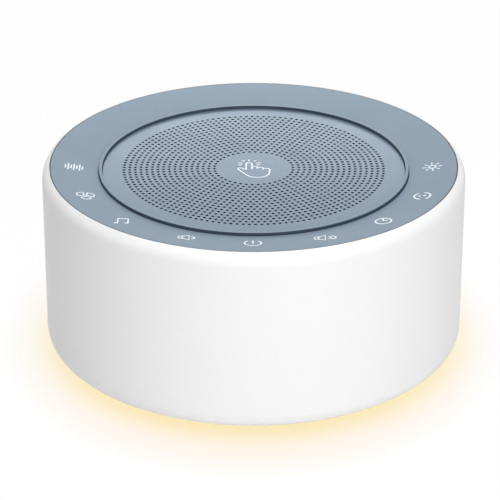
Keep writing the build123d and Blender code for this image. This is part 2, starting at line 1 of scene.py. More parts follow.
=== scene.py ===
# %% [markdown]
# # A white noise sound machine, finished in Blender
# The machine is a round white drum with a blue-grey top. Its solids come from a CAD model that is already the
# right size, so nothing here is measured again. This lesson gives the pieces that show their final surfaces:
# smooth spun walls, a perforated grille, printed icons, a lit diffuser, and a finish for every piece inside.

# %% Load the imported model
import json
import math

import bpy
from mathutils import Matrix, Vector


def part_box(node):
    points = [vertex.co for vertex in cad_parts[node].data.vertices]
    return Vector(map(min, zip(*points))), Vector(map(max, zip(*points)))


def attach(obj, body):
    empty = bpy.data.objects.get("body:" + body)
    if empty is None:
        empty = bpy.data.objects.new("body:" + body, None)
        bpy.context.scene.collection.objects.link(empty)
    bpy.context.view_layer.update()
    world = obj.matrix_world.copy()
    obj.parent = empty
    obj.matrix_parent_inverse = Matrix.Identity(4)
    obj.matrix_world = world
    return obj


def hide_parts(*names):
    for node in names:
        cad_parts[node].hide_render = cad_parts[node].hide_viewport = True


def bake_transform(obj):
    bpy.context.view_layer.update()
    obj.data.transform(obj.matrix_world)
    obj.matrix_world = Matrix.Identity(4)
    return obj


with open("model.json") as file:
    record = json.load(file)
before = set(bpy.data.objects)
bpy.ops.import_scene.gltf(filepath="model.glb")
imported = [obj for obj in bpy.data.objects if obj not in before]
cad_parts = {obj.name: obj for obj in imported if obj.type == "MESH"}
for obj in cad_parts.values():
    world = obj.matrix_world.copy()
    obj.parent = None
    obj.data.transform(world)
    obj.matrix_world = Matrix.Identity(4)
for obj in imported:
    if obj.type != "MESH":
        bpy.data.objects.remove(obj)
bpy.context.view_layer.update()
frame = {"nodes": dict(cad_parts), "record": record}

MM = 0.001

# %% [markdown]
# ## Sizes
# A round piece is known by its outer radius and its lowest and highest point, and the frame gives them. The
# sizes that a box can't show, such as an inner radius, are written once, in millimetres, at the piece that
# they belong to.


# %% Read the sizes that the frame gives
def span(node):
    """Outer radius, lowest and highest point of a CAD node that is turned about the machine's axis."""
    low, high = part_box(node)
    return high.x, low.z, high.z


BODY_R, BODY_LOW, TOP_Z = span("body_shell")
RING_R, RING_LOW, _ = span("touch_ring")
TRIM_R, TRIM_LOW, TRIM_TOP = span("trim_ring")
GRILLE_R, GRILLE_LOW, GRILLE_TOP = span("grille_disc")
DIFFUSER_R, DIFFUSER_LOW, DIFFUSER_TOP = span("diffuser_ring")
BASE_R, BASE_LOW, _ = span("base_plate")
print(f"body radius {BODY_R / MM:.1f} mm, height {TOP_Z / MM:.1f} mm")

# %% [markdown]
# ## Tools for the workbench
# Most of this machine is round, so most pieces are spun from half a section. The section is drawn with one
# point after another, as a potter's template would be, and `spin` sweeps it round. Arcs come from a formula.
# A piece's sharp edges are then rounded a little, because no moulded edge is truly sharp, and that thin line
# of light is what makes a render look solid.

# %% Helpers to select, finish and shade a mesh
WELD = 1e-6
TURN_STEPS = 256
SMOOTH_ANGLE = math.radians(35)


def pick(piece):
    """Makes one object the only selected and active one."""
    bpy.ops.object.select_all(action="DESELECT")
    piece.select_set(True)
    bpy.context.view_layer.objects.active = piece


def apply_modifier(piece, kind, **settings):
    """Adds a modifier with its settings and applies it at once."""
    modifier = piece.modifiers.new(kind.lower(), kind)
    for name, value in settings.items():
        setattr(modifier, name, value)
    pick(piece)
    bpy.ops.object.modifier_apply(modifier=modifier.name)


def smooth(piece):
    """Smooth shading across gentle edges only."""
    pick(piece)
    bpy.ops.object.shade_smooth_by_angle(angle=SMOOTH_ANGLE)


def shade(piece):
    """Smooth shading that also keeps the large flats flat."""
    smooth(piece)
    apply_modifier(piece, "WEIGHTED_NORMAL", keep_sharp=True)


def soften(piece, width, segments=3):
    """Rounds every sharp edge, then shades the piece."""
    limit = {"limit_method": "ANGLE", "angle_limit": SMOOTH_ANGLE}
    apply_modifier(piece, "BEVEL", width=width, segments=segments, **limit)
    shade(piece)


def weld(piece, distance=WELD):
    """Merges the points that lie together, drops what is loose and turns all faces outwards."""
    pick(piece)
    bpy.ops.object.mode_set(mode="EDIT")
    bpy.ops.mesh.select_all(action="SELECT")
    bpy.ops.mesh.remove_doubles(threshold=distance)
    bpy.ops.mesh.delete_loose()
    bpy.ops.mesh.select_all(action="SELECT")
    bpy.ops.mesh.normals_make_consistent(inside=False)
    bpy.ops.object.mode_set(mode="OBJECT")


def join(pieces, name):
    """Joins separate meshes into one piece."""
    pick(pieces[0])
    for piece in pieces[1:]:
        piece.select_set(True)
    bpy.ops.object.join()
    pieces[0].name = name
    return pieces[0]


def combine(piece, other, operation):
    """Adds another solid to a piece or takes it away, and removes the other."""
    apply_modifier(piece, "BOOLEAN", object=other, operation=operation, solver="EXACT")
    bpy.data.objects.remove(other)


def cut(piece, cutter):
    combine(piece, cutter, "DIFFERENCE")


# %% Spin a half section
def arc(centre, radius, start, end, steps):
    """Points along an arc in the half section, from one angle to another in degrees."""
    turns = [math.radians(start + (end - start) * k / steps) for k in range(steps + 1)]
    return [(centre[0] + radius * math.cos(t), centre[1] + radius * math.sin(t)) for t in turns]


def turned(name, outline, steps=TURN_STEPS, degrees=360):
    """A solid, or a slice of one, spun about the axis from a closed outline of (radius, height) points."""
    bpy.ops.mesh.primitive_plane_add(size=MM, location=(0, 0, 0))
    piece = bpy.context.object
    piece.name = name
    bpy.ops.object.mode_set(mode="EDIT")
    bpy.ops.mesh.select_mode(type="VERT")
    bpy.ops.mesh.select_all(action="SELECT")
    bpy.ops.mesh.merge(type="CENTER")
    bpy.ops.transform.translate(value=(outline[0][0], 0, outline[0][1]))
    for here, there in zip(outline, outline[1:] + outline[:1]):
        step = (there[0] - here[0], 0, there[1] - here[1])
        bpy.ops.mesh.extrude_vertices_move(TRANSFORM_OT_translate={"value": step})
    bpy.ops.mesh.select_all(action="SELECT")
    bpy.ops.mesh.remove_doubles(threshold=WELD)
    bpy.ops.mesh.spin(steps=steps, angle=math.radians(degrees), center=(0, 0, 0), axis=(0, 0, 1))
    bpy.ops.object.mode_set(mode="OBJECT")
    weld(piece)
    return piece


def on_circle(radius, degrees):
    """The place on a circle about the axis, at this azimuth."""
    angle = math.radians(degrees)
    return (radius * math.cos(angle), radius * math.sin(angle))


# %% [markdown]
# What isn't spun starts from a box or a cylinder. A slot-shaped bar is a box whose long edges are rounded by
# almost half its height, and the same helper rounds any other edges that a test chooses.

# %% Boxes, cylinders and slot-shaped bars
ROUND_STEPS = 64
ALMOST_HALF = 0.499


def block(width, depth, height, centre):
    """A box with its centre at a place."""
    bpy.ops.mesh.primitive_cube_add(size=1, location=centre)
    bpy.context.object.scale = (width, depth, height)
    bpy.ops.object.transform_apply(location=True, rotation=True, scale=True)
    return bpy.context.object


def cylinder(radius, low, high, place):
    """A closed upright cylinder at a place of the base, between two heights."""
    centre = (*place, (low + high) / 2)
    size = {"radius": radius, "depth": high - low}
    bpy.ops.mesh.primitive_cylinder_add(vertices=ROUND_STEPS, location=centre, **size)
    bpy.ops.object.transform_apply(location=True, rotation=True, scale=True)
    return bpy.context.object


def round_edges(piece, chosen, width, segments):
    """Rounds the edges that a test chooses, and returns how many they were."""
    pick(piece)
    bpy.ops.object.mode_set(mode="EDIT")
    bpy.ops.mesh.select_mode(type="EDGE")
    bpy.ops.mesh.select_all(action="DESELECT")
    bpy.ops.object.mode_set(mode="OBJECT")
    count = 0
    for edge in piece.data.edges:
        edge.select = chosen(edge)
        count += edge.select
    bpy.ops.object.mode_set(mode="EDIT")
    bpy.ops.mesh.bevel(offset=width, segments=segments, affect="EDGES")
    bpy.ops.object.mode_set(mode="OBJECT")
    return count


def stadium_bar(width, height, front, back, centre_z, round_faces=False):
    """A bar along Y whose section is a slot with half-round ends. Its end faces can be rounded as well."""
    bar = block(width, back - front, height, (0, (front + back) / 2, centre_z))

    def chosen(edge):
        ends = [bar.data.vertices[i].co for i in edge.vertices]
        return round_faces or abs(ends[0].y - ends[1].y) > WELD

    round_edges(bar, chosen, ALMOST_HALF * height, segments=12)
    return bar


# %% [markdown]
# ## The camera
# The camera looks down at the front of the drum from about 26 degrees, from far away with a long lens, so
# that the two ellipses of the top stay nearly parallel. The same lens and place frame the drum with a narrow
# margin.

# %% Place the camera
CAMERA_PLACE = (0, -616.9 * MM, 331.3 * MM)
CAMERA_PITCH = math.radians(26.342)
CAMERA_YAW = math.radians(0.0926)
CAMERA_LENS = 184.07

camera_turn = (math.pi / 2 - CAMERA_PITCH, 0, CAMERA_YAW)
bpy.ops.object.camera_add(location=CAMERA_PLACE, rotation=camera_turn)
camera = bpy.context.object
camera.data.lens = CAMERA_LENS
bpy.context.scene.camera = camera
bpy.context.scene.view_settings.view_transform = "Standard"
print("camera lens", camera.data.lens)

# %% [markdown]
# ## Light
# The drum stands in soft studio light: an even white room, a broad key lamp and a small near one in front and
# a little to the right, a top lamp, a weak one from the side, one that lights the underside through the
# floor, and a strip behind that runs a sheen over the grille. A lamp's power says little by itself, so each
# one is set by its level: level 1 is as bright on a surface facing it as a plain white room would be. For a
# small distant lamp the power that gives it is level x pi^2 x distance^2.

# %% Hang the lamps
LAMP_AIM = Vector((0, 0, 0.03))


def hang_lamp(name, azimuth, elevation, distance, size, level):
    """An area lamp that looks at the drum from an azimuth (270 is the front) and elevation in degrees."""
    around, up = math.radians(azimuth), math.radians(elevation)
    away = Vector((math.cos(around) * math.cos(up), math.sin(around) * math.cos(up), math.sin(up)))
    bpy.ops.object.light_add(type="AREA", location=LAMP_AIM + away * distance)
    lamp = bpy.context.object
    lamp.name = name
    lamp.rotation_euler = away.to_track_quat("Z", "Y").to_euler()
    lamp.data.shape = "DISK"
    lamp.data.size = size
    lamp.data.energy = level * math.pi**2 * distance**2
    lamp.visible_camera = False
    return lamp


hang_lamp("key_lamp", azimuth=283, elevation=28, distance=1.2, size=0.7, level=0.21)
hang_lamp("near_lamp", azimuth=283, elevation=10, distance=0.32, size=0.12, level=0.176)
hang_lamp("top_lamp", azimuth=270, elevation=86, distance=1.0, size=0.8, level=0.66)
hang_lamp("side_lamp", azimuth=0, elevation=20, distance=1.2, size=0.6, level=0.033)
hang_lamp("under_lamp", azimuth=0, elevation=-90, distance=1.0, size=0.3, level=0.5)
sheen_lamp = hang_lamp("sheen_lamp", azimuth=90, elevation=29, distance=0.101, size=0.15, level=0.15)
sheen_lamp.data.shape = "RECTANGLE"
sheen_lamp.data.size_y = 0.02

# %% [markdown]
# Light and finishes are built from nodes. A few helpers keep that short: they feed a socket with a link or a
# plain value, add a node with its inputs by name, and make the many small sums, ramps and mixtures.


# %% Helpers for nodes
def feed(tree, value, socket):
    """Links an output to a socket, or sets a plain value on it."""
    if isinstance(value, bpy.types.NodeSocket):
        tree.links.new(value, socket)
    else:
        socket.default_value = value


def add(tree, kind, operation=None, **inputs):
    """Adds a node and feeds its inputs, which are named with underscores for spaces."""
    node = tree.nodes.new("ShaderNode" + kind)
    if operation:
        node.operation = operation
    for name, value in inputs.items():
        feed(tree, value, node.inputs[name.replace("_", " ")])
    return node


def math_node(tree, operation, *terms):
    """The output of a math node on one or two terms."""
    node = add(tree, "Math", operation)
    for value, socket in zip(terms, node.inputs):
        feed(tree, value, socket)
    return node.outputs[0]


def ramp(tree, value, start, end, low=0.0, high=1.0):
    """A number that goes from low to high while the value goes from start to end."""
    levels = add(tree, "MapRange", Value=value, From_Min=start, From_Max=end, To_Min=low, To_Max=high)
    return levels.outputs["Result"]


def mix_shaders(tree, share, first, second):
    """The first shader where the share is 0 and the second where it is 1."""
    mix = add(tree, "MixShader", Fac=share)
    for shader, socket in zip((first, second), mix.inputs[1:]):
        tree.links.new(shader.outputs[0], socket)
    return mix


# %% [markdown]
# The room itself is the world. It lights the drum evenly at a plain level, and shows as pure white to the
# camera and in reflections, so that glossy surfaces mirror a white room and not a grey one.

# %% Light the room
ROOM_LEVEL = 0.287
WHITE = (1, 1, 1, 1)


def seen_rays(tree):
    """1 for the rays that show a surface: from the camera, in a reflection or through glass."""
    path = add(tree, "LightPath")
    total = path.outputs["Is Camera Ray"]
    for ray in ("Is Glossy Ray", "Is Transmission Ray"):
        total = math_node(tree, "MAXIMUM", total, path.outputs[ray])
    return total


world = bpy.data.worlds.new("white_room")
bpy.context.scene.world = world
world.use_nodes = True
room = world.node_tree
room_light = room.nodes["Background"]
room_light.inputs["Color"].default_value = WHITE
room_light.inputs["Strength"].default_value = ROOM_LEVEL
room_seen = add(room, "Background", Color=WHITE, Strength=1.0)
room_mix = mix_shaders(room, seen_rays(room), room_light, room_seen)
room.links.new(room_mix.outputs[0], room.nodes["World Output"].inputs["Surface"])
print("room level", ROOM_LEVEL)

# %% [markdown]
# ## Finishes
# Every material starts from the same Principled shader, and the small irregularities of a surface come from
# node groups that are built once and placed wherever they are needed. Their patterns are measured in
# millimetres on the object, so a grain of a quarter of a millimetre stays that size on every piece.


# %% Helpers for colours and pattern groups
def paint(red, green, blue):
    """A colour written as screen values from 0 to 255, as the linear colour that shaders use."""
    shares = [value / 255 for value in (red, green, blue)]
    return (*(s / 12.92 if s <= 0.04045 else ((s + 0.055) / 1.055) ** 2.4 for s in shares), 1.0)


def new_group(name, **inputs):
    """An empty node group with number inputs and a mask as its output, and the sockets at its two ends."""
    group = bpy.data.node_groups.new(name, "ShaderNodeTree")
    number = {"socket_type": "NodeSocketFloat"}
    for socket, value in inputs.items():
        group.interface.new_socket(socket, in_out="INPUT", **number).default_value = value
    group.interface.new_socket("Mask", in_out="OUTPUT", **number)
    return group, group.nodes.new("NodeGroupInput").outputs, group.nodes.new("NodeGroupOutput").inputs["Mask"]


def in_millimetres(group, size):
    """Object coordinates divided by a pattern size that is given in millimetres."""
    place = add(group, "TexCoord").outputs["Object"]
    scale = math_node(group, "DIVIDE", 1 / MM, size)
    return add(group, "VectorMath", "SCALE", Vector=place, Scale=scale).outputs[0]


def length_of(tree, *terms):
    """The length of a vector with these two parts."""
    squares = [math_node(tree, "MULTIPLY", term, term) for term in terms]
    return math_node(tree, "SQRT", math_node(tree, "ADD", *squares))


# %% [markdown]
# **Grain** is the fine random texture of a spark-eroded mould, and at a larger size the soft unevenness of
# any handled surface. A noise texture gives both, so one group serves, with its size as an input. Size
# matters more than strength here: grain that is too coarse makes a small object look like a toy.

# %% The grain group
GRAIN, grain_in, grain_mask = new_group("grain", Size=0.3, Detail=2.0)
grain_place = in_millimetres(GRAIN, grain_in["Size"])
grain_noise = add(GRAIN, "TexNoise", Scale=1.0, Roughness=0.55, Vector=grain_place, Detail=grain_in["Detail"])
GRAIN.links.new(ramp(GRAIN, grain_noise.outputs["Fac"], 0.3, 0.7), grain_mask)
print("built", GRAIN.name)

# %% [markdown]
# **Weave** is two crossing sets of threads. A sine of each coordinate is a thread seen from its side, and
# where the sum of the cells is odd the other set lies on top, which is plain cloth.

# %% The weave group
WEAVE, weave_in, weave_mask = new_group("weave", Size=0.4)
weave_place = add(WEAVE, "SeparateXYZ", Vector=in_millimetres(WEAVE, weave_in["Size"])).outputs
threads = []
cells = []
for axis in "XY":
    turn = math_node(WEAVE, "MULTIPLY", weave_place[axis], math.pi)
    threads.append(math_node(WEAVE, "ABSOLUTE", math_node(WEAVE, "SINE", turn)))
    cells.append(math_node(WEAVE, "FLOOR", weave_place[axis]))
odd = math_node(WEAVE, "PINGPONG", math_node(WEAVE, "ADD", *cells), 1.0)
weave_mix = add(WEAVE, "Mix", Factor=odd, A=threads[0], B=threads[1])
WEAVE.links.new(weave_mix.outputs["Result"], weave_mask)
print("built", WEAVE.name)

# %% [markdown]
# **Lathe lines** are the fine rings that a cutting tool or a winding leaves round the axis. They depend only
# on the distance from the axis, or only on the height, and a noise texture that reads that one number makes
# them uneven in width, as real ones are.

# %% The lathe group
LATHE, lathe_in, lathe_mask = new_group("lathe_lines", Size=0.3, Upright=0.0)
lathe_place = add(LATHE, "SeparateXYZ", Vector=in_millimetres(LATHE, lathe_in["Size"])).outputs
lathe_radius = length_of(LATHE, lathe_place["X"], lathe_place["Y"])
lathe_pick = add(LATHE, "Mix", Factor=lathe_in["Upright"], A=lathe_radius, B=lathe_place["Z"])
lathe_noise = add(LATHE, "TexNoise", Scale=1.0)
lathe_noise.noise_dimensions = "1D"
LATHE.links.new(lathe_pick.outputs["Result"], lathe_noise.inputs["W"])
LATHE.links.new(lathe_noise.outputs["Fac"], lathe_mask)
print("built", LATHE.name)

# %% [markdown]
# **Fibres** are short threads lying every way in pressed paper and in phenolic board. Two noise textures,
# each stretched along another direction and added, read as crossing fibres.

# %% The fibre group
FIBRES, fibre_in, fibre_mask = new_group("fibres", Size=0.5, Stretch=6.0)
layers = []
for direction in (0.0, math.pi / 3):
    lie = add(FIBRES, "VectorRotate", Angle=direction, Vector=in_millimetres(FIBRES, fibre_in["Size"]))
    squeeze = add(FIBRES, "CombineXYZ", X=math_node(FIBRES, "DIVIDE", 1.0, fibre_in["Stretch"]), Y=1.0, Z=1.0)
    stretched = add(FIBRES, "VectorMath", "MULTIPLY", Vector=lie.outputs[0])
    FIBRES.links.new(squeeze.outputs[0], stretched.inputs[1])
    layers.append(add(FIBRES, "TexNoise", Scale=1.0, Detail=1.0, Vector=stretched.outputs[0]).outputs["Fac"])
FIBRES.links.new(math_node(FIBRES, "MULTIPLY", math_node(FIBRES, "ADD", *layers), 0.5), fibre_mask)
print("built", FIBRES.name)

# %% [markdown]
# A finish then needs only a few lines: its two tones, how rough it is, and which pattern moves the colour,
# the roughness and the bump. The helpers below make those connections the same way every time. Each finish is
# built once, under its own name, and kept in a dictionary by the line `@finish` above it.

# %% Start a material, tint it, roughen it and give it relief
FINISHES = {}


def finish(make):
    """Builds a finish and keeps it under the name of the function that makes it."""
    FINISHES[make.__name__] = make()
    FINISHES[make.__name__].name = make.__name__
    return make


def start(**values):
    """A new material with its Principled shader's own sockets set."""
    material = bpy.data.materials.new("finish")
    material.use_nodes = True
    for socket, value in values.items():
        shader_input(material, socket.replace("_", " ")).default_value = value
    return material


def shader_input(material, name):
    return material.node_tree.nodes["Principled BSDF"].inputs[name]


def pattern(material, group, **values):
    """Places one of the pattern groups with its own values, and returns its mask."""
    node = material.node_tree.nodes.new("ShaderNodeGroup")
    node.node_tree = group
    for name, value in values.items():
        node.inputs[name].default_value = value
    return node.outputs[0]


def tint(material, mask, dark, light):
    """Colours the surface between two tones by a mask."""
    tree = material.node_tree
    mix = tree.nodes.new("ShaderNodeMix")
    mix.data_type = "RGBA"
    tones = [socket for socket in mix.inputs if socket.type == "RGBA"]
    for value, socket in zip((mask, dark, light), (mix.inputs[0], *tones)):
        feed(tree, value, socket)
    result = next(socket for socket in mix.outputs if socket.type == "RGBA")
    tree.links.new(result, shader_input(material, "Base Color"))


def vary(material, mask, low, high):
    """Moves the roughness between two values by a mask."""
    tree = material.node_tree
    tree.links.new(ramp(tree, mask, 0.0, 1.0, low, high), shader_input(material, "Roughness"))


def relief(material, mask, depth_mm):
    """Raises the surface by a mask, by this depth in millimetres."""
    bump = add(material.node_tree, "Bump", Distance=depth_mm * MM, Height=mask)
    material.node_tree.links.new(bump.outputs["Normal"], shader_input(material, "Normal"))


def shades(colour, spread):
    """A colour a little darker and a little lighter, for a grain that is barely seen."""
    return [(*(min(1.0, c * share) for c in colour[:3]), 1.0) for share in (1 - spread, 1 + spread)]


def moulded(colour, rough, grain_mm, depth_mm, spread=0.02, **values):
    """A moulded plastic or rubber: fine grain in colour and relief, soft patches in its gloss."""
    material = start(**values)
    fine = pattern(material, GRAIN, Size=grain_mm)
    patches = pattern(material, GRAIN, Size=14.0, Detail=3.0)
    tint(material, fine, *shades(colour, spread))
    vary(material, patches, *rough)
    relief(material, fine, depth_mm)
    return material


# %% [markdown]
# ### Finishes that show
# The housing is a satin white moulding. Its colour stays just short of white, because a surface that returns
# all its light has no shading left. The touch ring and the grille share one blue-grey; the grille is sprayed
# metal, and its sheen makes the far side lighter than the near side.


# %% White housing and base
@finish
def housing_white():
    return moulded(paint(242, 242, 243), rough=(0.40, 0.48), grain_mm=0.35, depth_mm=0.0015, spread=0.006)


@finish
def base_white():
    return moulded(paint(226, 226, 228), rough=(0.52, 0.62), grain_mm=0.45, depth_mm=0.012)


# %% Blue-grey top ring and grille
BLUE_GREY = paint(124, 142, 158)
GRILLE_BLUE = paint(117, 136, 154)
HOLE_SHADE_COLOUR = paint(4, 12, 20)
HOLE_SHADE_DEPTH = 0.008 * MM
SEAM_SHADE_COLOUR = paint(92, 96, 102)
SEAM_SHADE_WIDTH = 0.22 * MM


def recolour(material, mask, colour):
    """Paints one colour over the finish that is there already, where the mask is 1."""
    under = shader_input(material, "Base Color").links[0].from_socket
    tint(material, mask, under, colour)


def place_on(material):
    """The X, Y and Z of a point on the object, as three numbers in metres."""
    place = add(material.node_tree, "TexCoord").outputs["Object"]
    return add(material.node_tree, "SeparateXYZ", Vector=place).outputs


@finish
def top_blue():
    """Coated plastic, with a thin band of painted shade on its outermost edge, at the seam with the housing.
    """
    material = moulded(BLUE_GREY, rough=(0.50, 0.58), grain_mm=0.3, depth_mm=0.002, spread=0.015)
    tree = material.node_tree
    place = place_on(material)
    radius = length_of(tree, place["X"], place["Y"])
    # A thin band at the ring's outer edge is painted grey: painted shade at the seam with the housing.
    recolour(material, math_node(tree, "GREATER_THAN", radius, RING_R - SEAM_SHADE_WIDTH), SEAM_SHADE_COLOUR)
    return material


@finish
def grille_blue():
    """Sprayed metal, with the hole walls below the top painted near black and made fully rough: painted shade
    inside the holes.
    """
    spray = {"grain_mm": 0.45, "depth_mm": 0.004, "spread": 0.06, "Metallic": 0.35}
    material = moulded(GRILLE_BLUE, rough=(0.31, 0.37), **spray)
    tree = material.node_tree
    # Below a thin layer at the top, the hole walls are painted near black, as painted shade inside the holes.
    hole_shade_mask = math_node(tree, "LESS_THAN", place_on(material)["Z"], GRILLE_TOP - HOLE_SHADE_DEPTH)
    recolour(material, hole_shade_mask, HOLE_SHADE_COLOUR)
    gloss = shader_input(material, "Roughness")
    tree.links.new(math_node(tree, "MAXIMUM", gloss.links[0].from_socket, hole_shade_mask), gloss)
    return material


# %% [markdown]
# The trim ring that stands up round the grille has its walls painted dark, as painted shade in the narrow
# gaps beside it, and only its narrow top keeps the touch ring's blue-grey. One material does both: the
# height on the object picks the tone.


# %% Trim with painted shade on its walls and a blue-grey top
TRIM_WALL_SHADE = paint(56, 70, 86)
UNSHADED_TOP_DEPTH = 0.09 * MM


@finish
def trim_dark():
    material = start()
    fine = pattern(material, GRAIN, Size=0.3)
    # The walls below the top are painted dark, as painted shade; the top keeps the blue-grey.
    unshaded_top = math_node(material.node_tree, "GREATER_THAN", place_on(material)["Z"], TRIM_TOP - UNSHADED_TOP_DEPTH)
    tint(material, unshaded_top, TRIM_WALL_SHADE, BLUE_GREY)
    vary(material, fine, 0.46, 0.56)
    relief(material, fine, 0.002)
    return material


# %% [markdown]
# The icons are printed ink: nearly flat, a little glossier than the plastic, and thinner in places. The
# diffuser is milky plastic that is lit from inside. Its glow is a plain emission colour on the shader, so
# that it stays with the piece wherever the model is used.

# %% Ink and diffuser
GLOW = {"Emission_Color": paint(255, 212, 140), "Emission_Strength": 1.0}


@finish
def icon_white():
    return moulded(paint(236, 244, 250), rough=(0.35, 0.42), grain_mm=0.2, depth_mm=0.001)


@finish
def diffuser_milky():
    facts = {"grain_mm": 0.4, "depth_mm": 0.002, "spread": 0.01, "Subsurface_Weight": 0.25}
    return moulded(paint(250, 238, 214), rough=(0.42, 0.5), **facts, **GLOW)


# %% Feet, screws and the plug socket
@finish
def foot_rubber():
    return moulded(paint(150, 153, 158), rough=(0.72, 0.82), grain_mm=0.3, depth_mm=0.01)


def plated(colour, line_mm, depth_mm, rough=(0.24, 0.4), upright=0.0, **values):
    """Plated or turned metal with fine lines round the axis."""
    material = start(Metallic=1.0, **values)
    lines = pattern(material, LATHE, Size=line_mm, Upright=upright)
    tint(material, pattern(material, GRAIN, Size=3.0), *shades(colour, 0.06))
    vary(material, lines, *rough)
    relief(material, lines, depth_mm)
    return material


@finish
def screw_steel():
    return plated(paint(186, 188, 192), line_mm=0.25, depth_mm=0.004)


@finish
def socket_steel():
    return plated(paint(205, 206, 210), line_mm=0.8, depth_mm=0.001, rough=(0.16, 0.26))


# %% [markdown]
# ### Finishes inside the drum
# The pieces inside show only through the grille, the port and when the machine is taken apart, yet each has
# the finish of its real material. Plastics, rubbers and boards are mouldings with their own grain. Metals are
# turned or pressed. Cloth has a weave, and paper has fibres.


# %% Cloth, foam and paper
def woven(colour, thread_mm, depth_mm, spread, rough=0.9, **values):
    """Cloth of plain weave, darker between its threads."""
    material = start(Roughness=rough, **values)
    threads_up = pattern(material, WEAVE, Size=thread_mm)
    tint(material, threads_up, *shades(colour, spread))
    relief(material, threads_up, depth_mm)
    return material


@finish
def dust_cloth():
    return woven(paint(16, 20, 26), thread_mm=0.3, depth_mm=0.06, spread=0.5, Specular_IOR_Level=0.1)


@finish
def contact_foam():
    return woven(paint(140, 141, 145), thread_mm=0.25, depth_mm=0.04, spread=0.25)


@finish
def spider_cloth():
    return woven(paint(206, 172, 96), thread_mm=0.5, depth_mm=0.08, spread=0.3, rough=0.75)


@finish
def black_foam():
    return moulded(paint(30, 30, 33), rough=(0.88, 0.95), grain_mm=0.35, depth_mm=0.06, spread=0.4)


def pressed_paper(colour, rough):
    """Pressed paper pulp, with fibres in colour and relief."""
    material = start()
    fibres = pattern(material, FIBRES, Size=0.35, Stretch=7.0)
    tint(material, fibres, *shades(colour, 0.5))
    vary(material, fibres, *rough)
    relief(material, fibres, 0.05)
    return material


@finish
def cone_paper():
    return pressed_paper(paint(42, 42, 43), rough=(0.77, 0.9))


@finish
def cap_paper():
    return pressed_paper(paint(34, 34, 35), rough=(0.62, 0.75))


@finish
def fibre_board():
    return pressed_paper(paint(122, 76, 42), rough=(0.52, 0.65))


# %% Plastics and rubbers inside
@finish
def frame_dark():
    return moulded(paint(62, 68, 77), rough=(0.5, 0.6), grain_mm=0.4, depth_mm=0.006)


@finish
def chip_black():
    return moulded(paint(34, 34, 36), rough=(0.55, 0.7), grain_mm=0.12, depth_mm=0.004, spread=0.2)


@finish
def connector_cream():
    return moulded(paint(228, 222, 202), rough=(0.35, 0.45), grain_mm=0.3, depth_mm=0.002)


@finish
def ribbon_white():
    return moulded(paint(222, 225, 230), rough=(0.3, 0.4), grain_mm=1.0, depth_mm=0.004)


@finish
def capacitor_sleeve():
    return moulded(paint(32, 36, 58), rough=(0.25, 0.34), grain_mm=1.2, depth_mm=0.006)


@finish
def surround_rubber():
    return moulded(paint(36, 36, 37), rough=(0.6, 0.72), grain_mm=0.3, depth_mm=0.01, spread=0.15)


def wire_sleeve(colour):
    """The soft plastic round a lead."""
    return moulded(colour, rough=(0.4, 0.5), grain_mm=0.4, depth_mm=0.003)


@finish
def wire_red():
    return wire_sleeve(paint(190, 28, 24))


@finish
def wire_black():
    return wire_sleeve(paint(30, 30, 31))


@finish
def wire_white():
    return wire_sleeve(paint(232, 232, 228))


# %% [markdown]
# A circuit board is fibreglass under a thin glossy mask. The weave of the glass shows through as a faint
# grid, and copper under the mask as lighter tracks, which a pattern of long bricks suggests well enough at
# this size.


# %% Boards
def masked_board(mask_colour, track_colour):
    """Solder mask over glass weave, with the lighter tracks of the copper under it."""
    material = start(Coat_Weight=0.4, Coat_Roughness=0.12)
    tree = material.node_tree
    flat = add(tree, "Mapping", Vector=add(tree, "TexCoord").outputs["Object"], Scale=(1, 1, 0))
    tracks = add(tree, "TexBrick", Vector=flat.outputs[0], Scale=0.25 / MM, Mortar_Size=0.035)
    tint(material, tracks.outputs["Fac"], mask_colour, track_colour)
    glass = pattern(material, WEAVE, Size=0.7)
    vary(material, glass, 0.3, 0.42)
    relief(material, glass, 0.006)
    return material


@finish
def board_green():
    return masked_board(paint(22, 92, 52), paint(42, 128, 76))


@finish
def board_white():
    return masked_board(paint(232, 232, 228), paint(214, 215, 210))


@finish
def emitter_amber():
    return moulded(paint(246, 206, 96), rough=(0.2, 0.3), grain_mm=0.25, depth_mm=0.003, **GLOW)


@finish
def flex_copper():
    return plated(paint(206, 132, 78), line_mm=0.6, depth_mm=0.002, rough=(0.34, 0.46), Coat_Weight=0.5)


# %% Metals inside
@finish
def speaker_steel():
    paint_coat = {"grain_mm": 0.2, "depth_mm": 0.005, "spread": 0.1, "Metallic": 0.3}
    return moulded(paint(40, 41, 43), rough=(0.34, 0.44), **paint_coat)


@finish
def plated_iron():
    return plated(paint(196, 194, 184), line_mm=0.35, depth_mm=0.006, rough=(0.28, 0.44))


@finish
def ferrite():
    return moulded(paint(66, 66, 69), rough=(0.6, 0.76), grain_mm=0.25, depth_mm=0.012, spread=0.2)


@finish
def brass_tab():
    return plated(paint(206, 176, 106), line_mm=0.3, depth_mm=0.002)


@finish
def tinsel():
    return woven(paint(190, 140, 92), thread_mm=0.12, depth_mm=0.03, spread=0.3, rough=0.4, Metallic=1.0)


@finish
def tin_can():
    return plated(paint(205, 205, 208), line_mm=0.5, depth_mm=0.002, rough=(0.2, 0.3))


@finish
def former_film():
    return moulded(paint(198, 128, 52), rough=(0.2, 0.3), grain_mm=0.8, depth_mm=0.002, Coat_Weight=0.4)


@finish
def coil_copper():
    return plated(paint(192, 104, 58), line_mm=0.09, depth_mm=0.03, rough=(0.25, 0.4), upright=1.0)


# %% Give each CAD node its finish
SLOT_OF = {part["node"]: part["material_slot"] for part in frame["record"]["subparts"]}


def dress(piece, slot_name):
    """Gives a piece one finish."""
    piece.data.materials.clear()
    piece.data.materials.append(FINISHES[slot_name])


for node_name, node in frame["nodes"].items():
    dress(node, SLOT_OF[node_name])
print("finishes:", len(FINISHES))


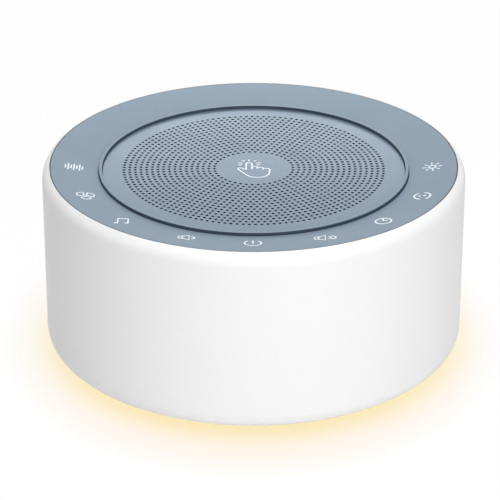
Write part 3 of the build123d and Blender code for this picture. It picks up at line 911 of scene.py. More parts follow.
def install(piece, node_name, still=True):
    """Puts a new piece in the place of a CAD node: same slot, same finish and, if it is still, same body."""
    dress(piece, SLOT_OF[node_name])
    if still:
        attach(piece, "root")
    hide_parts(node_name)
    print(piece.name, "stands for", node_name, "with", len(piece.data.polygons), "faces")


# %% [markdown]
# ## The housing
# One white moulding makes the wall, the soft shoulder and the rounded foot of the drum, with a ledge inside
# for the touch ring. Its section is spun, and the only thing that isn't round, the power port at the back, is
# cut afterwards. The shoulder is an arc that meets the wall smoothly and ends at the ring's edge at a slant.

# %% Spin the housing
DISC_R = 54.0 * MM
SHOULDER_DROP = 3.5 * MM
BOTTOM_ROUND = 4.4 * MM
WALL = 2.6 * MM
INNER_ROUND = 2.2 * MM
LIP_R = 48.6 * MM
LEDGE_R = 51.2 * MM
LEDGE_T = 1.6 * MM
RING_SEAT_Z = TOP_Z - 1.8 * MM

shoulder_run = BODY_R - DISC_R
SHOULDER_R = (shoulder_run**2 + SHOULDER_DROP**2) / (2 * shoulder_run)
SHOULDER_TURN = math.degrees(math.asin(SHOULDER_DROP / SHOULDER_R))
inner_r = BODY_R - WALL
ledge_low = RING_SEAT_Z - LEDGE_T

housing_outline = (
    [(LIP_R, BODY_LOW)]
    + arc((BODY_R - BOTTOM_ROUND, BODY_LOW + BOTTOM_ROUND), BOTTOM_ROUND, -90, 0, steps=12)
    + arc((BODY_R - SHOULDER_R, TOP_Z - SHOULDER_DROP), SHOULDER_R, 0, SHOULDER_TURN, steps=12)
    + [(DISC_R, RING_SEAT_Z), (LEDGE_R, RING_SEAT_Z), (LEDGE_R, ledge_low)]
    + [(inner_r, ledge_low - (inner_r - LEDGE_R))]
    + arc((inner_r - INNER_ROUND, BODY_LOW + WALL + INNER_ROUND), INNER_ROUND, 0, -90, steps=6)
    + [(LIP_R, BODY_LOW + WALL)]
)
housing = turned("housing", housing_outline)
print("housing section points:", len(housing_outline))

# %% Cut the power port and round its edge
PORT_WIDTH = 12.8 * MM
PORT_HEIGHT = 7.0 * MM
PORT_Z = 11.83 * MM
PORT_ROUND = 0.35 * MM
RIM_DEPTH = 0.2 * MM

# The cutter's ends are round too, so the port narrows by a tenth of a millimetre just at the outer surface.
port_start, port_end = BODY_R - 4 * WALL, BODY_R + WALL
cut(housing, stadium_bar(PORT_WIDTH, PORT_HEIGHT, port_start, port_end, PORT_Z, round_faces=True))
sharp = math.cos(SMOOTH_ANGLE)
normals = [face.normal.copy() for face in housing.data.polygons]
faces_of = {}
for face in housing.data.polygons:
    for key in face.edge_keys:
        faces_of.setdefault(key, []).append(face.index)


def on_port_rim(edge):
    """True for a sharp edge between the port and the outer wall."""
    middle = sum((housing.data.vertices[i].co for i in edge.vertices), Vector()) / 2
    beside = faces_of[edge.key]
    outside = middle.y > 0 and middle.xy.length > BODY_R - RIM_DEPTH and abs(middle.x) < PORT_WIDTH
    near_port = outside and abs(middle.z - PORT_Z) < PORT_HEIGHT
    return near_port and len(beside) == 2 and normals[beside[0]].dot(normals[beside[1]]) < sharp


print("rounded port edges:", round_edges(housing, on_port_rim, PORT_ROUND, segments=3))
shade(housing)
install(housing, "body_shell")

# %% [markdown]
# ## The touch ring
# The blue-grey ring is dished: it falls towards the grille at about one in seven. Under the visible face it
# has a rim that rests on the housing's ledge and a short wall round its bore.

# %% Spin the touch ring
DISH_SLOPE = 0.1514
RING_BORE = TRIM_R + 0.12 * MM
RIM_IN = LEDGE_R - 0.2 * MM
SKIRT_R = 42.0 * MM
SKIRT_TOP = 48.5 * MM
STEP_R = 50.8 * MM
STEP_Z = 49.8 * MM
RING_EDGE = 0.15 * MM


def dish(radius):
    """Height of the dished face at a radius."""
    return TOP_Z - (RING_R - radius) * DISH_SLOPE


ring_outline = [
    (RING_R, RING_SEAT_Z),
    (RING_R, TOP_Z),
    (RING_BORE, dish(RING_BORE)),
    (RING_BORE, max(RING_LOW, TRIM_LOW)),
    (SKIRT_R, TRIM_LOW),
    (SKIRT_R, SKIRT_TOP),
    (STEP_R, STEP_Z),
    (RIM_IN, RING_SEAT_Z),
]
ring = turned("dished_top", ring_outline)
soften(ring, RING_EDGE)
install(ring, "touch_ring")

# %% [markdown]
# ## The trim ring
# A thin upright ring stands between the dish and the grille. Its walls are painted dark, as painted shade, so
# it reads as a fine dark line all round, with a light thread along its top. The foot inside is held under the
# grille's rim.

# %% Spin the trim ring
TRIM_BORE = 40.15 * MM
TRIM_FOOT_R = 39.8 * MM
TRIM_FOOT_TOP = 48.3 * MM
TRIM_EDGE = 0.1 * MM

trim_outline = [
    (TRIM_FOOT_R, TRIM_LOW),
    (TRIM_R, TRIM_LOW),
    (TRIM_R, TRIM_TOP),
    (TRIM_BORE, TRIM_TOP),
    (TRIM_BORE, TRIM_FOOT_TOP),
    (TRIM_FOOT_R, TRIM_FOOT_TOP),
]
trim = turned("trim", trim_outline)
soften(trim, TRIM_EDGE)
install(trim, "trim_ring")

# %% [markdown]
# ## The grille
# The grille is a flat disc with seventeen rings of small holes round a plain touch centre. Cutting 1530 holes
# one by one would take minutes. A flat curve does it at once: one large circle and 1530 small ones in the
# same drawing fill as a plate with real holes, and the curve's own thickness and bevel give it walls and soft
# rims. The drawing is made at a scale of one unit to the millimetre, because very small curves fill badly,
# and is brought to size after it has become a mesh.

# %% Draw the perforated plate
HOLE_R = 0.38
HOLE_PITCH = 1.494
FIRST_RING = 7
LAST_RING = 23
HOLES_ADDED = 6
HOLE_START = 2.1
PLATE_EDGE = 0.05
PLATE_WELD = PLATE_EDGE / 500
RIM_POINTS, RIM_STEPS = 8, 32
HOLE_POINTS, HOLE_STEPS = 4, 3


def draw_circle(plate, x, y, radius, points, steps, turn=0.0):
    """Adds a circle of Bezier points to the plate's drawing. Its first point is turned by some degrees."""
    spline = plate.splines.new("BEZIER")
    spline.bezier_points.add(points - 1)
    reach = radius * 4 / 3 * math.tan(math.pi / (2 * points))
    for k, point in enumerate(spline.bezier_points):
        cosine, sine = on_circle(1, turn + 360 * k / points)
        point.co = (x + radius * cosine, y + radius * sine, 0)
        point.handle_left = (point.co.x + reach * sine, point.co.y - reach * cosine, 0)
        point.handle_right = (point.co.x - reach * sine, point.co.y + reach * cosine, 0)
    spline.use_cyclic_u = True
    spline.resolution_u = steps


def draw_plate(rim_turn):
    """The rim and every hole, ring by ring, as one flat drawing in millimetres."""
    plate = bpy.data.curves.new("grille", "CURVE")
    plate.dimensions = "2D"
    plate.fill_mode = "BOTH"
    plate.extrude = round((GRILLE_TOP - GRILLE_LOW) / MM, 2) / 2 - PLATE_EDGE
    plate.bevel_depth = PLATE_EDGE
    plate.bevel_resolution = 0
    draw_circle(plate, 0, 0, round(GRILLE_R / MM, 2) - PLATE_EDGE, RIM_POINTS, RIM_STEPS, rim_turn)
    for row in range(FIRST_RING, LAST_RING + 1):
        holes = HOLES_ADDED * row
        for k in range(holes):
            x, y = on_circle(row * HOLE_PITCH, HOLE_START + 360 * k / holes)
            draw_circle(plate, x, y, HOLE_R + PLATE_EDGE, HOLE_POINTS, HOLE_STEPS)
    return plate


# %% [markdown]
# Filling so many circles at once is delicate: where points line up, the fill can leave a gap. So the mesh is
# counted, and as long as it has an open edge the rim's first point is turned a little and the plate drawn
# again.


# %% Make the plate a mesh, at its size and place
def fill_plate(rim_turn):
    """The drawing as a mesh, and the number of its edges that don't join two faces."""
    grille = bpy.data.objects.new("grille", draw_plate(rim_turn))
    bpy.context.scene.collection.objects.link(grille)
    pick(grille)
    bpy.ops.object.convert(target="MESH")
    bpy.ops.object.mode_set(mode="EDIT")
    bpy.ops.mesh.select_all(action="SELECT")
    bpy.ops.mesh.remove_doubles(threshold=PLATE_WELD)
    bpy.ops.object.mode_set(mode="OBJECT")
    uses = {}
    for face in grille.data.polygons:
        for key in face.edge_keys:
            uses[key] = uses.get(key, 0) + 1
    return grille, sum(count != 2 for count in uses.values())


TRIES = 12
RIM_TURN = 0.57

for attempt in range(TRIES):
    grille, gaps = fill_plate(RIM_TURN * attempt)
    print("grille drawing", attempt, "open edges", gaps)
    if not gaps:
        break
    bpy.data.objects.remove(grille)
grille.scale = (MM, MM, MM)
grille.location.z = (GRILLE_LOW + GRILLE_TOP) / 2
bpy.ops.object.transform_apply(location=True, rotation=True, scale=True)
smooth(grille)
install(grille, "grille_disc")

# %% [markdown]
# ## The printed icons
# Nine touch spots lie on the dish at equal steps, all upright to somebody who sits in front. Each is drawn
# with strokes of an even width in a small flat drawing, in millimetres. A curve with a round bevel is such a
# stroke, and pressed nearly flat it becomes a print that stands a few hundredths of a millimetre off the
# surface. The ends of a stroke taper over half its width, which rounds them.

# %% Strokes and how they are laid
INK_WIDTH = 0.42
INK_HEIGHT = 0.035
INK_LIFT = 0.008
CAP_STEPS = (0.45, 0.75, 0.92, 0.99)
INK_WELD = INK_LIFT / 10


def bow(centre, radius, start, end, squash=1.0, steps=20):
    """Points along part of a circle or, squashed, an ellipse, between two angles in degrees."""
    turns = [math.radians(start + (end - start) * k / steps) for k in range(steps + 1)]
    return [(centre[0] + radius * squash * math.cos(t), centre[1] + radius * math.sin(t)) for t in turns]


def with_caps(points, width):
    """The stroke's points as (x, y, share of the width), with both ends tapered round."""
    half = width / 2
    capped = [(x, y, 1.0) for x, y in points]
    for end, before in ((0, 1), (-1, -2)):
        tip = Vector(points[end])
        onward = (tip - Vector(points[before])).normalized()
        cap = []
        for share in CAP_STEPS:
            spot = tip + onward * half * (share - 0.5)
            cap.append((spot.x, spot.y, math.sqrt(1 - share * share)))
        capped = (cap[::-1] + capped[1:]) if end == 0 else (capped[:-1] + cap)
    return capped


def stroke(drawing, points, closed=False, width=1.0):
    """Adds one stroke to a drawing, as a share of the ink's usual width."""
    spline = drawing.splines.new("POLY")
    spots = [(x, y, 1.0) for x, y in points] if closed else with_caps(points, INK_WIDTH * width)
    spline.points.add(len(spots) - 1)
    for point, (x, y, share) in zip(spline.points, spots):
        point.co = (x, y, 0, 1)
        point.radius = share * width
    spline.use_cyclic_u = closed


def drawn_solid(name, drawing, distance):
    """A drawing of thick lines as a closed mesh, its points welded within a distance."""
    piece = bpy.data.objects.new(name, drawing)
    bpy.context.scene.collection.objects.link(piece)
    pick(piece)
    bpy.ops.object.convert(target="MESH")
    weld(piece, distance)
    return piece


def lay_print(name, strokes, place, normal):
    """Makes a drawing's strokes a thin print on a surface. Upright in the drawing stays upright in plan."""
    drawing = bpy.data.curves.new(name, "CURVE")
    drawing.dimensions = "3D"
    drawing.bevel_depth = INK_WIDTH / 2
    drawing.bevel_resolution = 2
    drawing.use_fill_caps = True
    for settings in strokes:
        stroke(drawing, **settings)
    piece = drawn_solid(name, drawing, INK_WELD)
    piece.scale = (MM, MM, MM * INK_HEIGHT / (INK_WIDTH / 2))
    piece.rotation_euler = Vector((0, 0, 1)).rotation_difference(normal).to_euler()
    piece.location = Vector(place) + normal * INK_LIFT * MM
    bpy.ops.object.transform_apply(location=True, rotation=True, scale=True)
    smooth(piece)
    dress(piece, "icon_white")
    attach(piece, "root")


# %% [markdown]
# The drawings follow. `x` runs to the right and `y` away from the person in front. Most are plain signs that
# many machines use: sound bars, a fan, a note, a loudspeaker, power, a clock and a lamp.


# %% Draw sound bars, fan and note
def sound_bars():
    bars = []
    for k in range(7):
        x = -2.45 + 0.757 * k
        low, high = (-0.8, 1.25) if k % 2 == 0 else (-1.75, 2.05)
        bars.append({"points": [(x, low), (x, high)], "width": 1.05})
    return bars


def fan():
    """Three broad outlined blades about a hub."""
    hub = (-0.13, 0.05)
    lower_side = [(0.3, 10), (1.0, -34), (1.7, -46), (2.2, -38), (2.5, -12)]
    upper_side = [(2.45, 16), (2.1, 40), (1.4, 40), (0.8, 30)]
    blades = []
    for lean in (158, 38, 282):
        spots = [on_circle(r, lean + a) for r, a in lower_side + upper_side]
        blades.append({"points": [(hub[0] + x, hub[1] + y) for x, y in spots], "closed": True, "width": 0.9})
    return blades


def note():
    left, right = -1.45, 1.15
    return [
        {"points": [(left, -2.4), (left, 1.25)], "width": 0.9},
        {"points": [(right, -1.9), (right, 1.7)], "width": 0.9},
        {"points": [(left, 1.2), (right, 1.62)], "width": 1.3},
        {"points": [(left - 0.75, -2.25), (left - 0.1, -2.15)], "width": 1.6},
        {"points": [(right - 0.7, -1.75), (right - 0.1, -1.65)], "width": 1.6},
    ]


# %% Draw the two loudspeakers and the power sign
def loudspeaker(shift, rise, waves):
    """A loudspeaker from the side: box, flaring cone, and waves at the given places."""
    box_left, box_right, mouth = shift - 2.65, shift - 1.7, shift
    box_half, mouth_half = 0.85, 1.85
    outline = [
        (box_left, rise - box_half),
        (box_left, rise + box_half),
        (box_right, rise + box_half),
        (mouth, rise + mouth_half),
        (mouth, rise - mouth_half),
        (box_right, rise - box_half),
    ]
    strokes = [{"points": outline, "closed": True, "width": 1.05}]
    strokes.append({"points": [(box_right, rise - box_half), (box_right, rise + box_half)], "width": 1.1})
    for x, half_height in waves:
        wave = bow((x - 1.1 * half_height, rise), half_height, -78, 78, squash=1.1)
        strokes.append({"points": wave, "width": 1.05})
    return strokes


def volume_down():
    return loudspeaker(shift=1.6, rise=0.35, waves=[(3.0, 0.95)])


def volume_up():
    return loudspeaker(shift=0.1, rise=0.0, waves=[(1.55, 0.75), (2.75, 1.2)])


def power():
    return [
        {"points": bow((-0.2, 0.65), 2.1, 130, 410), "width": 1.0},
        {"points": [(-0.2, 0.2), (-0.2, 2.6)], "width": 1.05},
    ]


# %% Draw clock, pause ring and lamp
def clock():
    centre, pin = (-0.14, -0.2), (-0.16, 0.15)
    return [
        {"points": bow(centre, 2.05, 0, 351, steps=39), "closed": True, "width": 1.05},
        {"points": [(pin[0], 1.5), pin], "width": 1.25},
        {"points": [pin, (1.0, pin[1])], "width": 0.9},
    ]


def broken_circle():
    centre = (0.2, -0.1)
    strokes = [{"points": bow(centre, 2.12, a, a + 138), "width": 1.05} for a in (-69, 111)]
    for x in (-0.68, 0.6):
        strokes.append({"points": [(centre[0] + x - 0.2, 0.0), (centre[0] + x + 0.2, 0.0)], "width": 1.7})
    return strokes


def sun():
    centre = (-0.16, 0.5)
    strokes = [{"points": bow(centre, 0.9, 0, 345, steps=23), "closed": True, "width": 1.0}]
    for k in range(8):
        inner, outer = (1.05, 2.5) if k == 6 else (1.65, 2.55)
        ray = [on_circle(r, 45 * k) for r in (inner, outer)]
        strokes.append({"points": [(centre[0] + x, centre[1] + y) for x, y in ray], "width": 1.0})
    return strokes


# %% [markdown]
# The hand in the centre is larger and lies on the flat grille. Its outline runs round the pointing finger,
# the three folded fingers and the thumb, and seven short rays stand round the fingertip.


# %% Draw the tapping hand
def tap_hand():
    tip = bow((-1.25, 2.6), 0.78, 0, 180, steps=10)
    finger = [(-0.47, -0.75)] + tip + [(-2.03, -1.0)]
    thumb = [(-2.03, -1.0), (-3.3, -0.05), (-3.75, 0.05), (-4.15, -0.2), (-4.15, -0.75), (-3.6, -1.7)]
    palm = [(-2.7, -3.1), (-1.75, -4.6), (-1.0, -5.4), (0.0, -5.85), (1.2, -5.95), (2.4, -5.7), (3.4, -4.95)]
    wrist = [(4.0, -3.95), (4.18, -2.7), (4.18, -0.9), (4.05, -0.4), (3.6, -0.25), (2.5, -0.3)]
    strokes = [
        {"points": finger},
        {"points": thumb + palm + wrist},
        {"points": [(-0.47, 1.0), (0.6, 0.98), (0.94, 0.7), (0.94, -0.5)]},
        {"points": [(0.94, 0.5), (2.0, 0.47), (2.46, 0.2), (2.46, -1.0)]},
    ]
    rays = [
        ((-4.1, 2.05), (-3.1, 2.05)),
        ((-4.1, 3.35), (-3.1, 3.25)),
        ((-3.1, 4.8), (-2.45, 4.4)),
        ((-1.28, 5.3), (-1.28, 4.55)),
        ((0.05, 4.35), (0.6, 4.85)),
        ((0.75, 3.1), (1.75, 3.35)),
        ((0.8, 2.05), (1.6, 1.95)),
    ]
    return strokes + [{"points": list(ray), "width": 1.05} for ray in rays]


# %% Print all ten
ICON_R = 47.4 * MM
ICON_FIRST = 182
ICON_STEP = 22
ICONS = [sound_bars, fan, note, volume_down, power, volume_up, clock, broken_circle, sun]

for k, draw in enumerate(ICONS):
    azimuth = ICON_FIRST + k * ICON_STEP
    icon_x, icon_y = on_circle(ICON_R, azimuth)
    lean_x, lean_y = on_circle(DISH_SLOPE, azimuth)
    upright = Vector((-lean_x, -lean_y, 1)).normalized()
    lay_print("icon_" + draw.__name__, draw(), (icon_x, icon_y, dish(ICON_R)), upright)
lay_print("icon_tap_hand", tap_hand(), (0, 0, GRILLE_TOP), Vector((0, 0, 1)))
print("icons:", len(ICONS) + 1)

# %% [markdown]
# ## The glow ring
# The diffuser is a channel of milky plastic that hangs between the housing's lip and the base plate, with the
# emitters above it. Only its flat lower face shows, two and a half millimetres off the table.

# %% Spin the diffuser
BASE_PLATE_TOP = BASE_LOW + 2.0 * MM
DIFFUSER_BORE = 40.0 * MM
DIFFUSER_T = 1.6 * MM
CHANNEL_INNER = 43.7 * MM
CHANNEL_OUTER = 47.3 * MM
CHANNEL_WALL = 1.0 * MM
FACE_GAP = 0.3 * MM
DIFFUSER_EDGE = 0.2 * MM
flange_low = BODY_LOW + WALL
face_outer = LIP_R - FACE_GAP

diffuser_outline = [
    (DIFFUSER_BORE, BASE_PLATE_TOP),
    (CHANNEL_INNER - CHANNEL_WALL, BASE_PLATE_TOP),
    (CHANNEL_INNER - CHANNEL_WALL, DIFFUSER_LOW),
    (face_outer, DIFFUSER_LOW),
    (face_outer, flange_low),
    (DIFFUSER_R, flange_low),
    (DIFFUSER_R, DIFFUSER_TOP),
    (CHANNEL_OUTER, DIFFUSER_TOP),
    (CHANNEL_OUTER, DIFFUSER_LOW + DIFFUSER_T),
    (CHANNEL_INNER, DIFFUSER_LOW + DIFFUSER_T),
    (CHANNEL_INNER, DIFFUSER_TOP),
    (BASE_R, DIFFUSER_TOP),
    (BASE_R, BASE_PLATE_TOP + DIFFUSER_T),
    (DIFFUSER_BORE, BASE_PLATE_TOP + DIFFUSER_T),
]
diffuser = turned("glow_ring", diffuser_outline)
soften(diffuser, DIFFUSER_EDGE)
install(diffuser, "diffuser_ring")

# %% [markdown]
# ## The base plate
# The drum's floor is a white plate inside the glowing ring. It is spun with a shallow groove and a clamp rim,
# four columns and four board posts stand on it, and screw holes and pockets for the feet are cut into it. The
# columns and posts are added by one boolean and the holes are cut by two, because solids that don't touch
# each other can share a boolean.

# %% Spin the base plate
BASE_BREAK = 0.4 * MM
CLAMP_OUTER = 39.8 * MM
CLAMP_INNER = 38.6 * MM
CLAMP_TOP = BASE_PLATE_TOP + 1.4 * MM
GROOVE_INNER = 23.6 * MM
GROOVE_OUTER = 24.2 * MM
BASE_EDGE = 0.12 * MM

base_outline = [
    (0, BASE_LOW),
    (GROOVE_INNER, BASE_LOW),
    (GROOVE_INNER, BASE_LOW + BASE_BREAK),
    (GROOVE_OUTER, BASE_LOW + BASE_BREAK),
    (GROOVE_OUTER, BASE_LOW),
    (BASE_R - BASE_BREAK, BASE_LOW),
    (BASE_R, BASE_LOW + BASE_BREAK),
    (BASE_R, BASE_PLATE_TOP),
    (CLAMP_OUTER, BASE_PLATE_TOP),
    (CLAMP_OUTER, CLAMP_TOP),
    (CLAMP_INNER, CLAMP_TOP),
    (CLAMP_INNER, BASE_PLATE_TOP),
    (0, BASE_PLATE_TOP),
]
plate = turned("bottom_plate", base_outline)

# %% Add the columns and posts, and cut the holes
COLUMN_PLACES = [on_circle(35.5 * MM, angle) for angle in (45, 135, 225, 315)]
POST_PLACES = [(x * MM, y * MM) for x in (-15, 15) for y in (-25.5, 25.5)]
FOOT_PLACES = [on_circle(31.0 * MM, angle) for angle in (0, 90, 180, 270)]
COLUMN_R, COLUMN_TOP = 3.7 * MM, 7.6 * MM
COLUMN_BORE_R = 1.6 * MM
POST_R, POST_TOP = 2.5 * MM, 8.6 * MM
POST_BORE_R, POST_BORE_LOW = 1.2 * MM, 4.2 * MM
SCREW_RECESS_R, SCREW_FLOOR = 3.1 * MM, 4.0 * MM
FOOT_R = 5.3 * MM
POCKET_R = FOOT_R + 0.2 * MM
FOOT_TOP = BASE_LOW + 0.8 * MM
OVERLAP = 0.5 * MM


def cylinders(places, radius, low, high):
    """The same cylinder at several places, as one mesh."""
    return join([cylinder(radius, low, high, place) for place in places], "cylinders")


foot_z = BASE_PLATE_TOP - OVERLAP
under = BASE_LOW - OVERLAP
columns = cylinders(COLUMN_PLACES, COLUMN_R, foot_z, COLUMN_TOP)
posts = cylinders(POST_PLACES, POST_R, foot_z, POST_TOP)
combine(plate, join([columns, posts], "uprights"), "UNION")
pockets = cylinders(FOOT_PLACES, POCKET_R, under, FOOT_TOP)
recesses = cylinders(COLUMN_PLACES, SCREW_RECESS_R, under, SCREW_FLOOR)
cut(plate, join([pockets, recesses], "recesses"))
bores = cylinders(COLUMN_PLACES, COLUMN_BORE_R, BASE_LOW, COLUMN_TOP + OVERLAP)
post_bores = cylinders(POST_PLACES, POST_BORE_R, POST_BORE_LOW, POST_TOP + OVERLAP)
cut(plate, join([bores, post_bores], "bores"))
soften(plate, BASE_EDGE, segments=2)
install(plate, "base_plate")

# %% [markdown]
# ## Feet and screws
# One foot and one screw are modelled about the axis, and copied to their four places, each copy with its own
# mesh. A foot is a pad of rubber with a rounded lower edge and a shallow hollow, which helps it grip. A screw
# has a domed head with a cross recess; its thread is a row of ridges, which at a pitch of one millimetre
# looks like a thread from every side.


# %% Copy a piece round the base
def repeat(piece, places, name):
    """Copies a finished piece to several places and joins the copies."""
    copies = []
    for x, y in places:
        copy = piece.copy()
        copy.data = piece.data.copy()
        bpy.context.scene.collection.objects.link(copy)
        copy.location = (x, y, 0)
        pick(copy)
        bpy.ops.object.transform_apply(location=True, rotation=False, scale=False)
        copies.append(copy)
    bpy.data.objects.remove(piece)
    return join(copies, name)


# %% Make the four feet
FOOT_ROUND = 0.5 * MM
FOOT_HOLLOW_R = 3.6 * MM
FOOT_HOLLOW = 0.25 * MM
FOOT_EDGE = 0.1 * MM

foot_outline = (
    [(0, FOOT_TOP), (0, FOOT_HOLLOW), (FOOT_HOLLOW_R - FOOT_HOLLOW, FOOT_HOLLOW), (FOOT_HOLLOW_R, 0)]
    + arc((FOOT_R - FOOT_ROUND, FOOT_ROUND), FOOT_ROUND, -90, 0, steps=5)
    + [(FOOT_R, FOOT_TOP)]
)
foot = turned("foot", foot_outline, steps=72)
soften(foot, FOOT_EDGE, segments=2)
install(repeat(foot, FOOT_PLACES, "feet"), "rubber_feet")

# %% Make the four screws
HEAD_R = 2.75 * MM
HEAD_LOW = 2.1 * MM
HEAD_ROUND = 0.6 * MM
SHANK_R = 1.45 * MM
THREAD_DEPTH = 0.25 * MM
THREAD_PITCH = 1.0 * MM
SCREW_TIP = HEAD_LOW + 13.9 * MM
CROSS_LENGTH = 1.24 * HEAD_R
CROSS_WIDTH = 0.28 * HEAD_R
SCREW_EDGE = 0.05 * MM

screw_outline = [(0, HEAD_LOW)]
screw_outline += arc((HEAD_R - HEAD_ROUND, HEAD_LOW + HEAD_ROUND), HEAD_ROUND, -90, 0, steps=5)
screw_outline += [(HEAD_R, SCREW_FLOOR), (SHANK_R, SCREW_FLOOR)]
turn_z = SCREW_FLOOR + THREAD_PITCH
while turn_z < SCREW_TIP - 2 * THREAD_PITCH:
    screw_outline += [(SHANK_R, turn_z), (SHANK_R - THREAD_DEPTH, turn_z + THREAD_PITCH / 2)]
    turn_z += THREAD_PITCH
screw_outline += [(SHANK_R - THREAD_DEPTH, turn_z), (SHANK_R / 3, SCREW_TIP), (0, SCREW_TIP)]
screw = turned("screw", screw_outline, steps=48)
for length_x, length_y in ((CROSS_LENGTH, CROSS_WIDTH), (CROSS_WIDTH, CROSS_LENGTH)):
    cut(screw, block(length_x, length_y, SCREW_FLOOR - HEAD_LOW, (0, 0, HEAD_LOW)))
soften(screw, SCREW_EDGE, segments=2)
install(repeat(screw, COLUMN_PLACES, "base_screws"), "case_screws")

# %% [markdown]
# ## The power socket
# Behind the port lies a drawn steel shell with a plastic tongue, the usual small socket that fits either way
# up. The shell is one slot-shaped bar, rounded at both ends too, with a smaller straight one cut out of it.
# Fine gold contacts lie on both faces of the tongue, and they are modelled, because this is the one place
# where somebody looks closely.

# %% Form the shell
SOCKET_MOUTH = 53.2 * MM
SOCKET_LENGTH = 7.35 * MM
SOCKET_W = 8.94 * MM
SOCKET_H = 3.26 * MM
SOCKET_WALL = 0.3 * MM
SOCKET_BACK = 1.2 * MM
SOCKET_EDGE = 0.07 * MM

socket_start = SOCKET_MOUTH - SOCKET_LENGTH
shell = stadium_bar(SOCKET_W, SOCKET_H, socket_start, SOCKET_MOUTH, PORT_Z, round_faces=True)
shell.name = "socket_shell"
hollow = stadium_bar(
    SOCKET_W - 2 * SOCKET_WALL,
    SOCKET_H - 2 * SOCKET_WALL,
    socket_start + SOCKET_BACK,
    SOCKET_MOUTH + OVERLAP,
    PORT_Z,
)
cut(shell, hollow)
soften(shell, SOCKET_EDGE, segments=2)
install(shell, "power_socket")

# %% Form the tongue and its contacts
TONGUE_W = 6.69 * MM
TONGUE_LENGTH = 5.2 * MM
TONGUE_T = 0.7 * MM
CONTACTS = 12
CONTACT_PITCH = 0.5 * MM
CONTACT_W = 0.26 * MM
CONTACT_LENGTH = 3.4 * MM
CONTACT_T = 0.05 * MM
CONTACT_BACK = 0.5 * MM
TONGUE_EDGE, CONTACT_EDGE = 0.16 * MM, 0.012 * MM

tongue_start = socket_start + SOCKET_BACK
tongue = block(TONGUE_W, TONGUE_LENGTH, TONGUE_T, (0, tongue_start + TONGUE_LENGTH / 2, PORT_Z))
tongue.name = "tongue"
soften(tongue, TONGUE_EDGE)
install(tongue, "socket_tongue")

contact_y = tongue_start + TONGUE_LENGTH - CONTACT_LENGTH / 2 - CONTACT_BACK
contacts = []
for k in range(CONTACTS):
    for face in (-1, 1):
        centre = ((k - (CONTACTS - 1) / 2) * CONTACT_PITCH, contact_y, PORT_Z + face * TONGUE_T / 2)
        contacts.append(block(CONTACT_W, CONTACT_LENGTH, CONTACT_T, centre))
contact_rows = join(contacts, "socket_contacts")
soften(contact_rows, CONTACT_EDGE, segments=1)
dress(contact_rows, "brass_tab")
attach(contact_rows, "root")
print("contacts:", len(contacts))

# %% [markdown]
# ## The parts that flex with the cone
# The surround, the spider and two loose leads join the moving cone to the still basket, so they bend when the
# cone travels. A bend runs along one straight direction, but a ring has to bend from its rim inwards. So a
# ring is spun as 24 open slices, which are welded together; each slice is passed to `bend` with its middle
# azimuth, and `bend` only bakes the slice's place into its mesh. Seen from above a spin runs clockwise, so a
# slice's middle lies half a slice before the azimuth it starts at.

# %% Bake a piece's place, and weld a ring of slices
SLICES = 24
SLICE_TURN = 360 / SLICES
SLICE_STEPS = 10


def bend(piece, azimuth, still_r, moving_r):
    """Bakes the piece's place into its mesh. The points at the two radii along the azimuth are worked out but
    not used.
    """
    start, end = ((*on_circle(radius, azimuth), 0) for radius in (still_r, moving_r))
    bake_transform(piece)
    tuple(start)
    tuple(end)


def flexing_ring(name, outline, still_r, moving_r):
    """A ring of slices, each turned to its place and baked, welded into one closed mesh."""
    slices = []
    for k in range(SLICES):
        piece = turned(name, outline, steps=SLICE_STEPS, degrees=SLICE_TURN)
        piece.rotation_euler.z = math.radians(SLICE_TURN * k)
        bend(piece, SLICE_TURN * (k - 0.5), still_r, moving_r)
        slices.append(piece)
    ring = join(slices, name)
    weld(ring)
    smooth(ring)
    return ring


# %% Spin the rubber surround
_, SURROUND_LOW, _ = span("speaker_surround")
SURROUND_T = 0.4 * MM
SURROUND_IN = 20.2 * MM
SURROUND_OUT = 27.6 * MM
ROLL_R = 22.85 * MM
ROLL_INSIDE = 1.45 * MM
SURROUND_STILL = 23.9 * MM
SURROUND_MOVING = 21.4 * MM

roll_outside = ROLL_INSIDE + SURROUND_T
roll_turn = math.degrees(math.asin(SURROUND_T / roll_outside))
surround_outline = (
    [(SURROUND_IN, SURROUND_LOW)]
    + arc((ROLL_R, SURROUND_LOW), ROLL_INSIDE, 180, 0, steps=14)
    + [(SURROUND_OUT, SURROUND_LOW), (SURROUND_OUT, SURROUND_LOW + SURROUND_T)]
    + arc((ROLL_R, SURROUND_LOW), roll_outside, roll_turn, 180 - roll_turn, steps=14)
    + [(SURROUND_IN, SURROUND_LOW + SURROUND_T)]
)
surround = flexing_ring("surround", surround_outline, SURROUND_STILL, SURROUND_MOVING)
install(surround, "speaker_surround", still=False)

# %% Spin the corrugated spider
SPIDER_T = 0.3 * MM
SPIDER_IN = 10.05 * MM
SPIDER_OUT = 19.9 * MM
SPIDER_Z = 30.0 * MM
WAVE_START = 11.025 * MM
WAVE_LENGTH = 2.7 * MM
WAVE_HEIGHT = 0.7 * MM
WAVE_STEPS = 24
SPIDER_SEAT = 17.2 * MM
SPIDER_STILL = 17.03 * MM
SPIDER_MOVING = 11.4 * MM

spider_lower = [(SPIDER_IN, SPIDER_Z)]
for k in range(WAVE_STEPS + 1):
    waves = 2 * k / WAVE_STEPS
    height = WAVE_HEIGHT * math.sin(2 * math.pi * waves)
    spider_lower.append((WAVE_START + waves * WAVE_LENGTH, SPIDER_Z + height))
spider_lower += [(SPIDER_SEAT, SPIDER_Z), (SPIDER_OUT, SPIDER_Z)]
spider_upper = [(radius, z + SPIDER_T) for radius, z in reversed(spider_lower)]
spider = flexing_ring("spider", spider_lower + spider_upper, SPIDER_STILL, SPIDER_MOVING)
install(spider, "speaker_spider", still=False)

